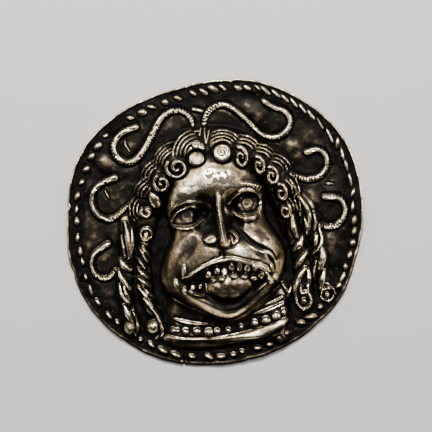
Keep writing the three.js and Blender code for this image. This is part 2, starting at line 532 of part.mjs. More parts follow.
// One face of the sheet in facets. It starts as a fan to the rim, and each further corner goes
// where the form stands furthest off its facet. Facets stay as even as their corners allow.
function facet(map, rimRise, limit) {
  const middle = Math.round(REACH / PITCH);
  const points = rim.map(([x, y]) => [x, y, rimRise]);
  points.push([place(middle), place(middle), map[middle * SIDE + middle]]);
  const corner = [];
  const twin = [];
  const gap = [];
  const furthest = [];
  const dirty = new Set();
  const area = (a, b, c) => (b[0] - a[0]) * (c[1] - a[1]) - (b[1] - a[1]) * (c[0] - a[0]);
  const next = (edge) => (edge % 3 === 2 ? edge - 2 : edge + 1);
  const last = (edge) => (edge % 3 === 0 ? edge + 2 : edge - 1);

  function setTriangle(t, vertices, twins) {
    vertices.forEach((vertex, k) => {
      corner[3 * t + k] = vertex;
      twin[3 * t + k] = twins[k];
      if (twins[k] >= 0) twin[twins[k]] = 3 * t + k;
    });
    dirty.add(t);
  }

  // Calls back for each cell under a triangle, with the cell's height off its plane
  function survey(a, b, c, visit) {
    const whole = area(a, b, c);
    const low = (axis) => Math.ceil((Math.min(a[axis], b[axis], c[axis]) + REACH) / PITCH);
    const high = (axis) => Math.floor((Math.max(a[axis], b[axis], c[axis]) + REACH) / PITCH);
    for (let j = low(1); j <= high(1); j++) {
      for (let i = low(0); i <= high(0); i++) {
        const p = [place(i), place(j)];
        const wa = area(p, b, c) / whole;
        const wb = area(a, p, c) / whole;
        if (wa < 0 || wb < 0 || wa + wb > 1 || !inner[j * SIDE + i]) continue;
        const plane = wa * a[2] + wb * b[2] + (1 - wa - wb) * c[2];
        visit(j * SIDE + i, Math.abs(map[j * SIDE + i] - plane));
      }
    }
  }

  function measure(t) {
    const [a, b, c] = [0, 1, 2].map((k) => points[corner[3 * t + k]]);
    gap[t] = 0;
    survey(a, b, c, (cell, off) => {
      if (off > gap[t]) {
        gap[t] = off;
        furthest[t] = cell;
      }
    });
  }

  // Turns the edge between two triangles
  function turnEdge(edge) {
    const other = twin[edge];
    const [t1, t2] = [Math.floor(edge / 3), Math.floor(other / 3)];
    const [u, v, w, x] = [corner[edge], corner[other], corner[last(edge)], corner[last(other)]];
    const outer = [twin[last(edge)], twin[next(other)], twin[last(other)], twin[next(edge)]];
    setTriangle(t1, [w, u, x], [outer[0], outer[1], 3 * t2 + 2]);
    setTriangle(t2, [x, v, w], [outer[2], outer[3], 3 * t1 + 2]);
    return [3 * t1 + 1, 3 * t2];
  }

  function inCircle(a, b, c, p) {
    const [ax, ay, bx, by] = [a[0] - p[0], a[1] - p[1], b[0] - p[0], b[1] - p[1]];
    const [cx, cy] = [c[0] - p[0], c[1] - p[1]];
    const [aa, bb, cc] = [ax * ax + ay * ay, bx * bx + by * by, cx * cx + cy * cy];
    return ax * (by * cc - bb * cy) - ay * (bx * cc - bb * cx) + aa * (bx * cy - by * cx) > 1e-9;
  }

  function settle(edge) {
    const other = twin[edge];
    if (other < 0) return;
    const [u, v, w, x] = [edge, other, last(edge), last(other)].map((e) => points[corner[e]]);
    if (inCircle(u, v, w, x)) turnEdge(edge).forEach(settle);
  }

  function insert(t) {
    const cell = furthest[t];
    const point = [place(cell % SIDE), place(Math.floor(cell / SIDE)), map[cell]];
    const p = points.push(point) - 1;
    const edges = [3 * t, 3 * t + 1, 3 * t + 2];
    const [a, b, c] = edges.map((edge) => corner[edge]);
    const twins = edges.map((edge) => twin[edge]);
    const along = edges.find((edge) => {
      return Math.abs(area(points[corner[edge]], points[corner[next(edge)]], point)) < 1e-9;
    });
    const count = corner.length / 3;
    if (along === undefined) {
      const [t1, t2] = [count, count + 1];
      setTriangle(t, [a, b, p], [twins[0], -1, -1]);
      setTriangle(t1, [b, c, p], [twins[1], -1, 3 * t + 1]);
      setTriangle(t2, [c, a, p], [twins[2], 3 * t + 2, 3 * t1 + 1]);
      [3 * t, 3 * t1, 3 * t2].forEach(settle);
      return;
    }
    const other = twin[along];
    const t2 = Math.floor(other / 3);
    const [u, v, w, x] = [corner[along], corner[other], corner[last(along)], corner[last(other)]];
    const outer = [twin[last(along)], twin[next(along)], twin[last(other)], twin[next(other)]];
    const [t1, t3] = [count, count + 1];
    setTriangle(t, [w, u, p], [outer[0], -1, -1]);
    setTriangle(t1, [v, w, p], [outer[1], 3 * t + 2, -1]);
    setTriangle(t2, [x, v, p], [outer[2], 3 * t1 + 2, -1]);
    setTriangle(t3, [u, x, p], [outer[3], 3 * t2 + 2, 3 * t + 1]);
    [3 * t, 3 * t1, 3 * t2, 3 * t3].forEach(settle);
  }

  for (let k = 0; k < RIM_POINTS; k++) {
    corner.push(k, (k + 1) % RIM_POINTS, RIM_POINTS);
    twin.push(-1, 3 * ((k + 1) % RIM_POINTS) + 2, 3 * ((k + RIM_POINTS - 1) % RIM_POINTS) + 1);
    dirty.add(k);
  }
  while (corner.length / 3 < limit) {
    dirty.forEach(measure);
    dirty.clear();
    let most = 0;
    for (let t = 1; t < gap.length; t++) {
      if (gap[t] > gap[most]) most = t;
    }
    if (gap[most] < 0.02) break;
    insert(most);
  }

  // Last, edges turn to lie along the ridges where that brings the facets closer to the form
  const miss = (...vertices) => {
    const [a, b, c] = vertices.map((vertex) => points[vertex]);
    let sum = 0;
    survey(a, b, c, (cell, off) => {
      sum += off * off;
    });
    return sum;
  };
  const stout = (...vertices) => {
    const [a, b, c] = vertices.map((vertex) => points[vertex]);
    const longest = Math.max(Math.hypot(a[0] - b[0], a[1] - b[1]), Math.hypot(b[0] - c[0], b[1] - c[1]),
      Math.hypot(c[0] - a[0], c[1] - a[1]));
    return area(a, b, c) > 0.12 * longest * longest;
  };
  for (let round = 0; round < 4; round++) {
    for (let edge = 0; edge < corner.length; edge++) {
      const other = twin[edge];
      if (other < edge) continue;
      const [u, v, w, x] = [corner[edge], corner[other], corner[last(edge)], corner[last(other)]];
      if (!stout(w, u, x) || !stout(x, v, w)) continue;
      if (miss(w, u, x) + miss(x, v, w) < 0.98 * (miss(u, v, w) + miss(v, u, x))) turnEdge(edge);
    }
  }
  return { points, corner };
}

// Both faces and the edge between them, as one closed shell
const upper = facet(front, SHEET, FACETS_FRONT);
const lower = facet(back, 0, FACETS_BACK);
const corners = [...upper.points, ...lower.points].map(([x, y, z]) => {
  return [(x - middleX) * scaleX, (y - middleY) * scaleY, z];
});
const indices = [...upper.corner];
const offset = upper.points.length;
for (let k = 0; k < lower.corner.length; k += 3) {
  indices.push(lower.corner[k] + offset, lower.corner[k + 2] + offset, lower.corner[k + 1] + offset);
}
for (let k = 0; k < RIM_POINTS; k++) {
  const ahead = (k + 1) % RIM_POINTS;
  indices.push(k, offset + k, ahead, ahead, offset + k, offset + ahead);
}

// The finest point of the relief is brought to its named rise
const highest = corners.reduce((most, corner) => Math.max(most, corner[2]), 0);
const positions = corners.flatMap(([x, y, z]) => [x, y, z * NOSE_RISE / highest]);
const geometry = new THREE.BufferGeometry();
geometry.setAttribute('position', new THREE.Float32BufferAttribute(positions, 3));
geometry.setIndex(indices);
geometry.computeVertexNormals();

const silver = new THREE.MeshStandardMaterial({ color: 0x8f887b, metalness: 1, roughness: 0.42 });
silver.name = 'tarnished_silver';
const disc = new THREE.Mesh(geometry, silver);
disc.name = 'gorgon_disc';

const group = new THREE.Group();
group.name = 'gorgon_mask';
group.add(disc);

export default group;
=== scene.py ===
import math

import bpy
import numpy as np
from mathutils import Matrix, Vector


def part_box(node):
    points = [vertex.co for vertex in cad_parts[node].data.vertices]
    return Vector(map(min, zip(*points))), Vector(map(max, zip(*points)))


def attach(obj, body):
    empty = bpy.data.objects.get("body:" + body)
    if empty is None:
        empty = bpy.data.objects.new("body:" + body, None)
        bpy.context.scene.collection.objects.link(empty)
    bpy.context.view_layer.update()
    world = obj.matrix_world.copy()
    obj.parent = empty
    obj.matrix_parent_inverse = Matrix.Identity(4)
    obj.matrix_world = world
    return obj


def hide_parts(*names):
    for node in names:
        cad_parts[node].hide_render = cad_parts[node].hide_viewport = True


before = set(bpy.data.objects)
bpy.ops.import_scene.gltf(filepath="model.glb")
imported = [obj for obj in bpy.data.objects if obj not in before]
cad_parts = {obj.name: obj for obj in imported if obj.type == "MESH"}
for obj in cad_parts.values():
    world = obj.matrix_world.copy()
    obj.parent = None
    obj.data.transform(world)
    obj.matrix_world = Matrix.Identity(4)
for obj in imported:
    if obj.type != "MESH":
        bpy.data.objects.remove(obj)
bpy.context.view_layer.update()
bpy.ops.object.select_all(action="DESELECT")

# The blank. One disc of silver sheet, cut by eye and hammered thin, so its outline wanders
# and its field is never quite flat. All the work on it is laid out in hundredths of its
# width from the middle, and its rise is a map that each later step raises or sinks.

# Radii of the cut edge, every 15 degrees from the right edge towards the crown
EDGE = [49.9, 50.8, 51.9, 51.5, 50.5, 49.6, 47.9, 47.0, 47.9, 49.5, 51.0, 50.8,
        50.1, 50.7, 50.9, 50.4, 49.6, 48.6, 47.6, 47.4, 47.8, 48.4, 49.2, 48.9]
# Spacing of the map, and how far it goes from the middle
PITCH = 0.16
REACH = 54.0
across = np.arange(-REACH, REACH + PITCH / 2, PITCH)
X, Y = np.meshgrid(across, across)


def radius_at(radii, angle):
    """Smooth closed curve through radii that stand at equal angles."""
    r = np.asarray(radii, float)
    turn = (angle % (2 * math.pi)) / (2 * math.pi) * len(r)
    first = np.floor(turn).astype(int) % len(r)
    t = turn - np.floor(turn)
    a, b, c, d = (r[(first + k) % len(r)] for k in (-1, 0, 1, 2))
    return b + 0.5 * t * (c - a + t * (2 * a - 5 * b + 4 * c - d + t * (3 * (b - c) + d - a)))


def layer():
    """An empty map, for one kind of raised or sunk work."""
    return np.zeros_like(X)


def under(x, y, reach):
    """The part of the map within reach of a place."""
    low = [max(0, int((v - reach + REACH) / PITCH)) for v in (y, x)]
    high = [min(len(across), int((v + reach + REACH) / PITCH) + 2) for v in (y, x)]
    return slice(low[0], high[0]), slice(low[1], high[1])


def ellipse(place, x, y, rx, ry, turn):
    """Squared distance from a middle, 1 on the ellipse round it."""
    cos, sin = math.cos(math.radians(turn)), math.sin(math.radians(turn))
    dx, dy = X[place] - x, Y[place] - y
    return ((dx * cos + dy * sin) / rx) ** 2 + ((dy * cos - dx * sin) / ry) ** 2


def swell(rise, x, y, rx, ry, turn, height, softness=1.2):
    """Broad swelling, or a hollow for a negative height, that adds to what is there."""
    place = under(x, y, max(rx, ry))
    square = ellipse(place, x, y, rx, ry, turn)
    rise[place] += height * np.clip(1 - square, 0, None) ** softness


# Nicks of the edge: degrees from the right edge, depth, and half width in degrees
NICKS = [(83.5, 0.5, 1.2), (174, 0.8, 1.0), (199, 0.5, 1.6), (257.5, 0.4, 0.4), (-44, 0.3, 2.0),
         (-76, 0.3, 1.2), (-128, 0.25, 1.5)]


def outline(angle):
    """The cut edge: it wavers under the shears and has a few nicks, all within the drawn line."""
    waver = 0.06 * np.sin(17 * angle + 1) * np.sin(5 * angle)
    radius = radius_at(EDGE, angle) - 0.14 - waver - 0.05 * np.sin(43 * angle)
    for degrees, depth, width in NICKS:
        off = (np.degrees(angle) - degrees + 180) % 360 - 180
        radius = radius - depth * np.exp(-(off / width) ** 2)
    return radius


inset = outline(np.arctan2(Y, X)) - np.hypot(X, Y)
sheet = layer()
# Low swellings between the snakes
for spot in [(-35, 18.5, 7.5, 3.5, -30, 1.2), (27, 24, 6, 4, -50, 0.8), (32, 7.5, 5, 4, -30, 0.8),
             (14, 36, 7, 4, -40, 0.9), (37.5, -8, 4, 9, 0, 0.7), (-33, -4, 4, 5, 10, 0.6)]:
    swell(sheet, *spot, softness=1.6)

# The rope border. Short slanted strands punched one after the other from the front, by eye, so
# that no two are alike: thin and steep at the upper right, stubby elsewhere, with a few gaps.


def boss(rise, x, y, rx, ry=None, turn=0.0, height=1.0, roundness=0.6):
    """Punched boss: keeps the higher of itself and what is there."""
    ry = rx if ry is None else ry
    place = under(x, y, max(rx, ry))
    square = ellipse(place, x, y, rx, ry, turn)
    rise[place] = np.maximum(rise[place], height * np.clip(1 - square, 0, None) ** roundness)


rope = layer()
bed = layer()
by_eye = np.random.default_rng(11)
# Middle, length, width and slant in degrees of each strand
punched = [(7.7, 44.9, 3.0, 1.8, -25), (10.8, 45.0, 2.8, 1.5, -30), (14.2, 45.1, 2.6, 0.9, -40),
           (16.9, 44.1, 4.6, 1.2, -42), (20.6, 42.9, 4.2, 1.2, -42), (23.5, 41.4, 3.8, 1.2, -45),
           (26.5, 39.9, 4.2, 1.2, -55), (29.4, 37.9, 4.2, 1.1, -55), (32.3, 35.8, 4.4, 1.2, -55),
           (35.3, 32.9, 4.6, 1.2, -62), (38.5, 28.9, 5.6, 1.1, -66), (41.0, 26.4, 4.2, 1.4, 85),
           (42.7, 22.6, 4.6, 1.2, -80), (44.0, 18.9, 4.4, 1.2, -78), (45.4, 14.0, 4.8, 1.2, -80),
           (46.2, 10.0, 3.2, 1.2, 70), (46.1, 5.0, 4.0, 1.1, 85), (46.6, 0.5, 3.6, 1.9, 75),
           (46.6, -3.0, 3.6, 1.8, 72), (46.1, -6.9, 2.6, 1.9, 70), (45.1, -11.0, 3.0, 1.5, 70),
           (43.7, -15.0, 2.6, 1.7, 85), (42.7, -18.4, 3.8, 1.7, 65), (41.3, -21.2, 2.6, 1.5, 45),
           (35.2, -28.3, 2.4, 1.7, 50), (32.1, -31.6, 4.2, 1.9, 5), (28.8, -33.6, 3.4, 1.9, 0),
           (24.8, -36.7, 2.6, 1.8, 30), (21.5, -39.2, 2.2, 2.1, 0), (18.3, -40.7, 3.2, 1.6, 0),
           (14.2, -41.8, 3.2, 1.8, 0), (9.0, -43.0, 2.0, 1.4, -30), (6.2, -44.1, 2.2, 1.7, 0),
           (2.0, -44.8, 3.2, 1.9, 0), (-2.0, -44.9, 3.2, 1.9, -35), (-7.7, -44.8, 2.4, 1.7, -20),
           (-13.2, -44.2, 3.6, 1.9, -30), (-17.6, -42.6, 3.8, 1.9, -35), (-21.4, -40.8, 3.2, 1.4, -50),
           (-25.0, -39.2, 1.6, 1.5, 0), (-32.7, -33.4, 2.4, 1.2, -55), (-35.5, -31.2, 3.4, 1.6, -60),
           (-39.2, -26.7, 3.2, 1.4, -60), (-41.7, -22.8, 4.2, 1.5, -75), (-43.3, -18.5, 2.4, 1.2, -80),
           (-44.4, -13.4, 2.8, 1.2, -75), (-45.2, -10.0, 3.4, 1.5, -88), (-46.1, -5.2, 3.0, 1.4, 85),
           (-46.3, 0.2, 2.8, 1.9, 85), (-46.4, 4.2, 2.8, 1.2, 85), (-46.2, 8.7, 3.2, 1.8, 70),
           (-44.7, 13.4, 2.6, 1.6, 50), (-43.2, 17.8, 2.9, 1.9, 42), (-41.6, 22.0, 3.2, 2.1, 40),
           (-39.4, 25.4, 3.4, 2.1, 45), (-36.6, 28.9, 2.2, 1.4, 32), (-28.4, 34.9, 2.8, 1.4, 0),
           (-24.4, 36.7, 3.2, 2.2, 0), (-21.2, 38.5, 3.2, 1.5, -10), (-16.8, 40.2, 2.6, 2.1, 0),
           (-12.5, 41.5, 3.2, 1.6, -18), (-7.4, 43.1, 2.8, 1.5, -35), (-3.8, 43.6, 3.6, 1.5, -33),
           (-0.5, 44.6, 4.0, 2.1, -25), (2.5, 45.0, 3.0, 1.2, -38)]
for x, y, length, width, turn in punched:
    boss(rope, x, y, 0.58 * length, 0.6 * width, turn, by_eye.normal(0.85, 0.15), 0.8)
    swell(bed, x, y, 3.0, 2.2, turn, 0.2, 1.5)
sheet += bed


def soften(rise, width):
    """Gaussian average of a map, over a width in hundredths."""
    half = max(1, int(round(3 * width / PITCH)))
    weights = np.exp(-0.5 * (np.arange(-half, half + 1) * PITCH / width) ** 2)
    weights /= weights.sum()
    for axis in (0, 1):
        padded = np.pad(rise, [(half, half) if axis == k else (0, 0) for k in (0, 1)], mode="edge")
        out = np.zeros_like(rise)
        for k, weight in enumerate(weights):
            part = [slice(None), slice(None)]
            part[axis] = slice(k, k + rise.shape[axis])
            out += weight * padded[tuple(part)]
        rise = out
    return rise


def chase(sheet, raised, line):
    """Adds raised work to the sheet and sinks a chased line round it."""
    mask = raised > 0.03
    sheet += np.where(mask, raised, -2 * line * soften(mask.astype(float), 0.32))


chase(sheet, rope, 0.4)

# The head in the rough. The hair is a roll that climbs from both temples to the crown, and the
# face a steep dome within it, both bossed up from behind over pitch.


def ease(a, b, value):
    """Smooth step, from 0 at a to 1 at b."""
    t = np.clip((value - a) / (b - a), 0, 1)
    return t * t * (3 - 2 * t)


def curve(points, step):
    """Smooth line through a few places, with how far along it each point is."""
    p = np.asarray(points, float)
    ends = np.vstack([2 * p[0] - p[1], p, 2 * p[-1] - p[-2]])
    out, along = [], []
    for k in range(len(p) - 1):
        a, b, c, d = ends[k:k + 4]
        for t in np.arange(0, 1, 1 / max(2, int(np.hypot(*(c - b)) / step))):
            out.append(b + 0.5 * t * (c - a + t * (2 * a - 5 * b + 4 * c - d + t * (3 * (b - c) + d - a))))
            along.append((k + t) / (len(p) - 1))
    return np.array(out + [p[-1]]), np.array(along + [1.0])


def strand(rise, points, widths, heights, roundness=0.6, crested=False):
    """Raised strand along a line, its half widths and heights spread over its length."""
    line, along = curve(points, 0.15)
    widths, heights = np.atleast_1d(widths), np.atleast_1d(heights)
    for (x, y), w, h in zip(line, np.interp(along, np.linspace(0, 1, len(widths)), widths),
                            np.interp(along, np.linspace(0, 1, len(heights)), heights)):
        place = under(x, y, w)
        square = ((X[place] - x) ** 2 + (Y[place] - y) ** 2) / w ** 2
        fall = np.sqrt(square) if crested else square
        rise[place] = np.maximum(rise[place], h * np.clip(1 - fall, 0, None) ** roundness)


hair = layer()
strand(hair,
       [(-24, -9), (-23.2, -3), (-23, 3.5), (-21, 8.5), (-18, 14.0), (-13, 19.5), (-6.5, 23), (1.5, 24.2),
        (8.8, 22.4), (15, 19.2), (19.5, 15.2), (22.8, 9.4), (23.8, 3.6), (25, -3)],
       [2.5, 3.5, 5, 6.5, 7.5, 8, 8.5, 8.5, 8.0, 7.5, 6.5, 5.5, 4, 3],
       [0.8, 1.6, 2.4, 4.0, 5.2, 6.6, 7.6, 7.8, 7.4, 6.4, 5.2, 3.6, 2.4, 1.2], 1.25)
# Radii of the face from its middle, every 10 degrees from its right towards the crown
FACE = [21.2, 20.0, 18.8, 18.2, 18.9, 22.4, 27.2, 29.4, 31.2, 31.8, 31.8, 31.2,
        30.0, 27.8, 24.6, 21.2, 17.9, 17.3, 18.2, 19.9, 21.8, 23.5, 24.0, 23.3,
        22.8, 22.6, 23.5, 24.6, 24.8, 24.0, 22.8, 22.4, 22.8, 23.1, 22.8, 22.2]
face_x, face_y = X - 2, Y + 8
face_share = np.hypot(face_x, face_y) / radius_at(FACE, np.arctan2(face_y, face_x))
dome = 6.9 * np.clip(1 - face_share ** (6 + 2 * ease(2, 12, Y)), 0, None) ** 0.75
sheet += (hair ** 3 + dome ** 3) ** (1 / 3)
in_face = ease(1.0, 0.84, face_share)

# The features. Muzzle, cheeks, brow and eye hollows are broad swellings pushed from behind, and
# the nose a sharp wedge between them; lids, nostrils and folds are then set in from the front.
form = layer()
swellings = [(2.5, -15, 19, 14.5, 8, 4.4, 1.0), (-5.4, -11.6, 8.5, 4.2, 32, 1.3, 1.1),
             (10.0, -10.0, 8.5, 4.2, -22, 1.5, 1.1), (2.6, -10.6, 2.4, 3.0, 0, -0.25),
             (-13, -6, 6.5, 10.0, -12, 1.5, 1.4), (16, -5.5, 8, 5.4, -42, 2.8, 1.1),
             (-0.4, 14.6, 15.5, 10.5, 10, 2.8, 1.0), (-3.4, 13.5, 6.0, 5.0, 20, 0.6, 1.2),
             (4.8, 13.0, 4.5, 4.5, 0, 0.5, 1.2), (-9.6, 2.4, 8.2, 4.7, 10, -3.2),
             (10.2, 6.6, 7.4, 4.9, 8, -3.4), (-11.2, 8.9, 6.5, 3.8, 18, 1.2, 1.1),
             (11.5, 12.2, 5.0, 2.6, -8, 0.6, 1.1), (-3.6, 6.6, 3.6, 4.4, 24, -1.5, 1.1),
             (5.4, 7.8, 3.2, 4.0, -12, -1.6, 1.1), (-3.6, 0.2, 4.0, 6.8, 10, -2.2, 1.2),
             (6.6, 0.8, 3.4, 6.0, 8, -2.4, 1.2)]
for spot in swellings:
    swell(form, *spot)
sheet += form * in_face
# Nose, with the thin bright crest on it and its wings
nose = layer()
strand(nose, [(0.8, 10.0), (1.2, 5), (2.0, -1), (3.1, -6.6)], [1.0, 1.3, 1.7, 2.2], [0.1, 2.6, 4.5, 5.5],
       1.0, True)
crest = layer()
strand(crest, [(1.3, 6.0), (1.6, 2), (2.3, -2), (3.3, -6.9)], [0.3, 0.4, 0.5, 0.65],
       [0.0, 0.35, 0.45, 0.45], 0.8)
wings = layer()
boss(wings, -0.9, -5.6, 2.6, 1.5, 10, 1.9, 0.6)
strand(wings, [(-3.6, -5.8), (-1.6, -4.2), (0.4, -4.6)], [0.4, 0.6, 0.4], [1.2, 2.0, 1.2])
strand(wings, [(4.7, -2.6), (6.6, -3.6), (7.3, -5.6), (6.0, -7.0)], [0.4, 0.75, 0.7, 0.4],
       [0.8, 1.7, 1.6, 0.6])
boss(wings, 5.3, -5.3, 1.0, 1.5, 10, 1.2, 0.6)
sheet += nose + crest + wings * ease(4.4, 2.4, nose)
# Nostrils, folds beside the nose and over the cheek, and two punch marks on the upper lip
sunk = layer()
strand(sunk, [(-4.6, -5.8), (-3.0, -7.1), (-0.6, -7.6), (1.4, -8.6)], [0.2, 0.5, 0.55, 0.3],
       [0.2, 0.7, 0.9, 0.3], 0.8)
strand(sunk, [(3.6, -8.6), (5.4, -8.0), (7.4, -7.4)], [0.3, 0.55, 0.3], [0.3, 0.8, 0.2], 0.8)
strand(sunk, [(6.8, -1.8), (9.5, -3.8), (12.0, -6.4), (15.5, -8.2), (18.6, -9.6), (20.6, -12.5)],
       [0.6, 1.1, 1.2, 1.0, 0.8, 0.4], [0.2, 1.0, 1.2, 1.0, 0.7, 0.2], 1.0)
strand(sunk, [(-4.6, -5.0), (-7.2, -6.4), (-9.8, -9.4), (-11.6, -14)], [1.2, 2.6, 3.0, 1.8],
       [0.1, 0.4, 0.4, 0.1], 1.5)
strand(sunk, [(6.6, -11.2), (11.0, -12.2), (15.5, -12.6)], [0.3, 0.5, 0.3], [0.2, 0.6, 0.2], 0.8)
strand(sunk, [(17, -10.2), (18.6, -12), (19.8, -15.2)], [0.4, 1.0, 0.5], [0.3, 0.9, 0.3], 1.0)
for x in (1.7, 2.9):
    boss(sunk, x, -10.5, 0.55, height=0.9)
sheet -= sunk
# Eyeballs, and pupils with a spiral cut in each
eyes = layer()
boss(eyes, -9.8, 1.9, 4.7, 3.0, 10, 1.7, 0.7)
boss(eyes, 10.2, 6.1, 4.3, 2.9, 6, 1.9, 0.7)
sheet += eyes
pupils = layer()
for x, y, radius in [(-9.4, 2.2, 2.2), (10.7, 6.2, 2.0)]:
    boss(pupils, x, y, 0.9 * radius, 1.1 * radius, 0, 0.3, 0.3)
    angle = np.linspace(0, 3.4 * math.pi, 30)
    shrink = radius * (0.8 - 0.6 * angle / angle[-1])
    spiral = np.column_stack([x + shrink * np.cos(angle), y + shrink * np.sin(angle)])
    strand(pupils, spiral, 0.26, 0.45, 0.8)
sheet += pupils
# Lids, the fan of ticks beside the right eye and the row of ticks that is its brow
lids = layer()
strand(lids, [(-15.2, -0.4), (-12.8, 3.2), (-9.8, 4.9), (-6.4, 5.0), (-3.8, 3.0)],
       [0.4, 0.6, 0.65, 0.6, 0.4], [0.7, 1.4, 1.5, 1.3, 0.5])
strand(lids, [(-15.6, 2.6), (-12.6, 5.6), (-8.6, 6.9), (-4.6, 6.4)], [0.3, 0.4, 0.45, 0.35],
       [0.2, 0.6, 0.7, 0.4])
strand(lids, [(-15.4, -0.9), (-12.4, -1.6), (-9.2, -1.7), (-6.6, -0.9), (-3.8, 1.1)],
       [0.6, 0.75, 0.75, 0.7, 0.4], [0.8, 1.5, 1.5, 1.2, 0.4])
strand(lids, [(4.6, 6.0), (6.6, 8.7), (9.4, 10.5), (12.4, 10.4), (14.8, 8.8)],
       [0.4, 0.65, 0.75, 0.55, 0.3], [0.5, 1.3, 1.5, 1.1, 0.3])
strand(lids, [(5.8, 3.8), (7.8, 2.5), (10.4, 1.6), (12.8, 1.9), (14.2, 3.2)],
       [0.4, 0.95, 1.3, 1.15, 0.4], [0.4, 1.6, 2.2, 1.8, 0.3], 0.35)
for fan in [
        [(13.8, 7.4), (16.0, 9.0)], [(14.4, 6.2), (16.8, 6.8)], [(14.4, 4.8), (16.8, 4.4)],
        [(14.8, 3.4), (16.6, 2.0)]]:
    strand(lids, fan, [0.3, 0.4, 0.2], [0.2, 0.35, 0.1])
for k in range(7):
    boss(lids, 9.0 + 1.08 * k, 13.0 - 0.03 * k * k, 0.6, 0.95, -25, 1.25, 0.5)
sheet += lids

# The mouth. It is sunk deep between lip and jaw, and the tongue swells out of it; small round
# teeth hang behind the lip, and short tusks stand at both corners.
mouth_edge = curve([(-9.4, -19), (-2, -14.4), (6.5, -13.2), (15, -15.6), (17.2, -18.6), (12.0, -23.0),
                    (7, -25.9), (2, -26.1), (-3, -24.4), (-8.2, -22.2), (-9.4, -19)],
                   1.0)[0]
inside = np.zeros(X.shape, bool)
for (x1, y1), (x2, y2) in zip(mouth_edge, np.roll(mouth_edge, -1, axis=0)):
    if y1 != y2:
        inside ^= ((y1 > Y) != (y2 > Y)) & (X < (x2 - x1) * (Y - y1) / (y2 - y1) + x1)
low_lip = ease(-20, -24, Y)
sharp, mild = (soften(inside.astype(float), width) for width in (0.7, 2.0))
opened = ease(0.15, 0.85, (1 - low_lip) * sharp + low_lip * mild)
tongue = layer()
boss(tongue, 4.9, -21.7, 7.8, 5.3, 4, 3.8, 0.42)
strand(tongue,
       [(-3.0, -20.6), (-2.4, -23.6), (0.2, -26.0), (4.0, -27.0), (8.2, -26.2), (11.6, -23.6),
        (12.8, -20.6)],
       [0.3, 0.5, 0.6, 0.6, 0.6, 0.5, 0.3], [1.2, 1.6, 1.8, 1.8, 1.8, 1.6, 1.2])
for x, y, radius in [
        (0.4, -21.6, 1.5), (3.8, -20.0, 1.6), (7.6, -20.2, 1.9), (2.6, -23.8, 1.6), (6.4, -24.0, 1.7)]:
    swell(tongue, x, y, 1.2 * radius, 1.2 * radius, 0, 0.4)
sheet += opened * (tongue - 2.7)
# Middle, half width and half height of each tooth
teeth = layer()
for x, y, wide, tall in [
        (-2.3, -16.9, 1.05, 1.35), (0.7, -15.8, 1.0, 1.3), (3.1, -15.9, 1.05, 1.35), (5.5, -14.6, 1.0, 1.3),
        (8.1, -14.8, 1.05, 1.35), (10.6, -15.2, 1.1, 1.2), (13.2, -15.0, 1.0, 1.1),
        (15.3, -17.6, 1.0, 1.15), (13.0, -18.3, 1.1, 1.0), (6.4, -17.3, 1.05, 1.0),
        (9.9, -17.5, 1.05, 0.95), (2.2, -18.4, 0.9, 0.8), (-7.4, -21.4, 0.9, 1.2), (-5.0, -21.4, 0.6, 0.6),
        (-0.6, -18.8, 0.8, 0.8)]:
    boss(teeth, x, y, 1.25 * wide, 1.2 * tall, 0, 1.9, 0.5)
sheet = np.where(teeth > 0.05, np.maximum(sheet + 0.5 * teeth, soften(sheet, 0.7) + teeth), sheet)
# Upper lip, the folded corners and the tusks that stand in them
lips = layer()
strand(lips,
       [(-10.6, -18.6), (-7.0, -16.6), (-3.6, -14.6), (1.0, -12.5), (5.2, -11.9), (9.4, -12.6), (13, -13.8),
        (16.5, -15.0), (18.2, -16.0)],
       [0.35, 0.45, 0.5, 0.6, 0.7, 0.8, 0.95, 0.95, 0.6], [0.5, 1.0, 1.1, 1.3, 1.4, 1.4, 1.4, 1.3, 0.8])
strand(lips, [(14.9, -15.8), (16.8, -17.2), (18.8, -19.8)], [0.5, 1.0, 0.9], [0.6, 1.6, 1.0])
strand(lips, [(-8.4, -23.0), (-5.6, -23.9), (-2.8, -24.4)], [0.4, 0.6, 0.4], [0.7, 1.3, 0.7])
boss(lips, -10.4, -16.0, 0.8, 2.2, -4, 1.3)
boss(lips, 19.1, -14.8, 0.6, 1.6, 8, 1.2)
boss(lips, -13, -20.2, 0.9, 1.5, 10, 0.8)
boss(lips, -10.1, -22.6, 0.8, 1.5, 0, 1.2)
boss(lips, 20.2, -18.4, 1.2, 1.2, 0, 0.7)
sheet += lips
# Jaw, a broad roll round the mouth from cheek to cheek
jaw = layer()
strand(jaw,
       [(-15.6, -12), (-16.3, -18), (-13.8, -22.2), (-8.2, -25.1), (-3.3, -27.4), (0.4, -29.1),
        (4.4, -30.0), (8.4, -29.1), (12.2, -26.3), (16.6, -22.4), (20.4, -18.7), (21.5, -13.6)],
       [3.2, 3.7, 3.8, 3.6, 3.5, 3.4, 3.4, 3.4, 3.4, 3.2, 2.7, 1.8],
       [0.2, 0.9, 1.7, 2.4, 2.9, 3.3, 3.5, 3.3, 2.7, 1.9, 1.2, 0.3], 1.2)
sheet += jaw

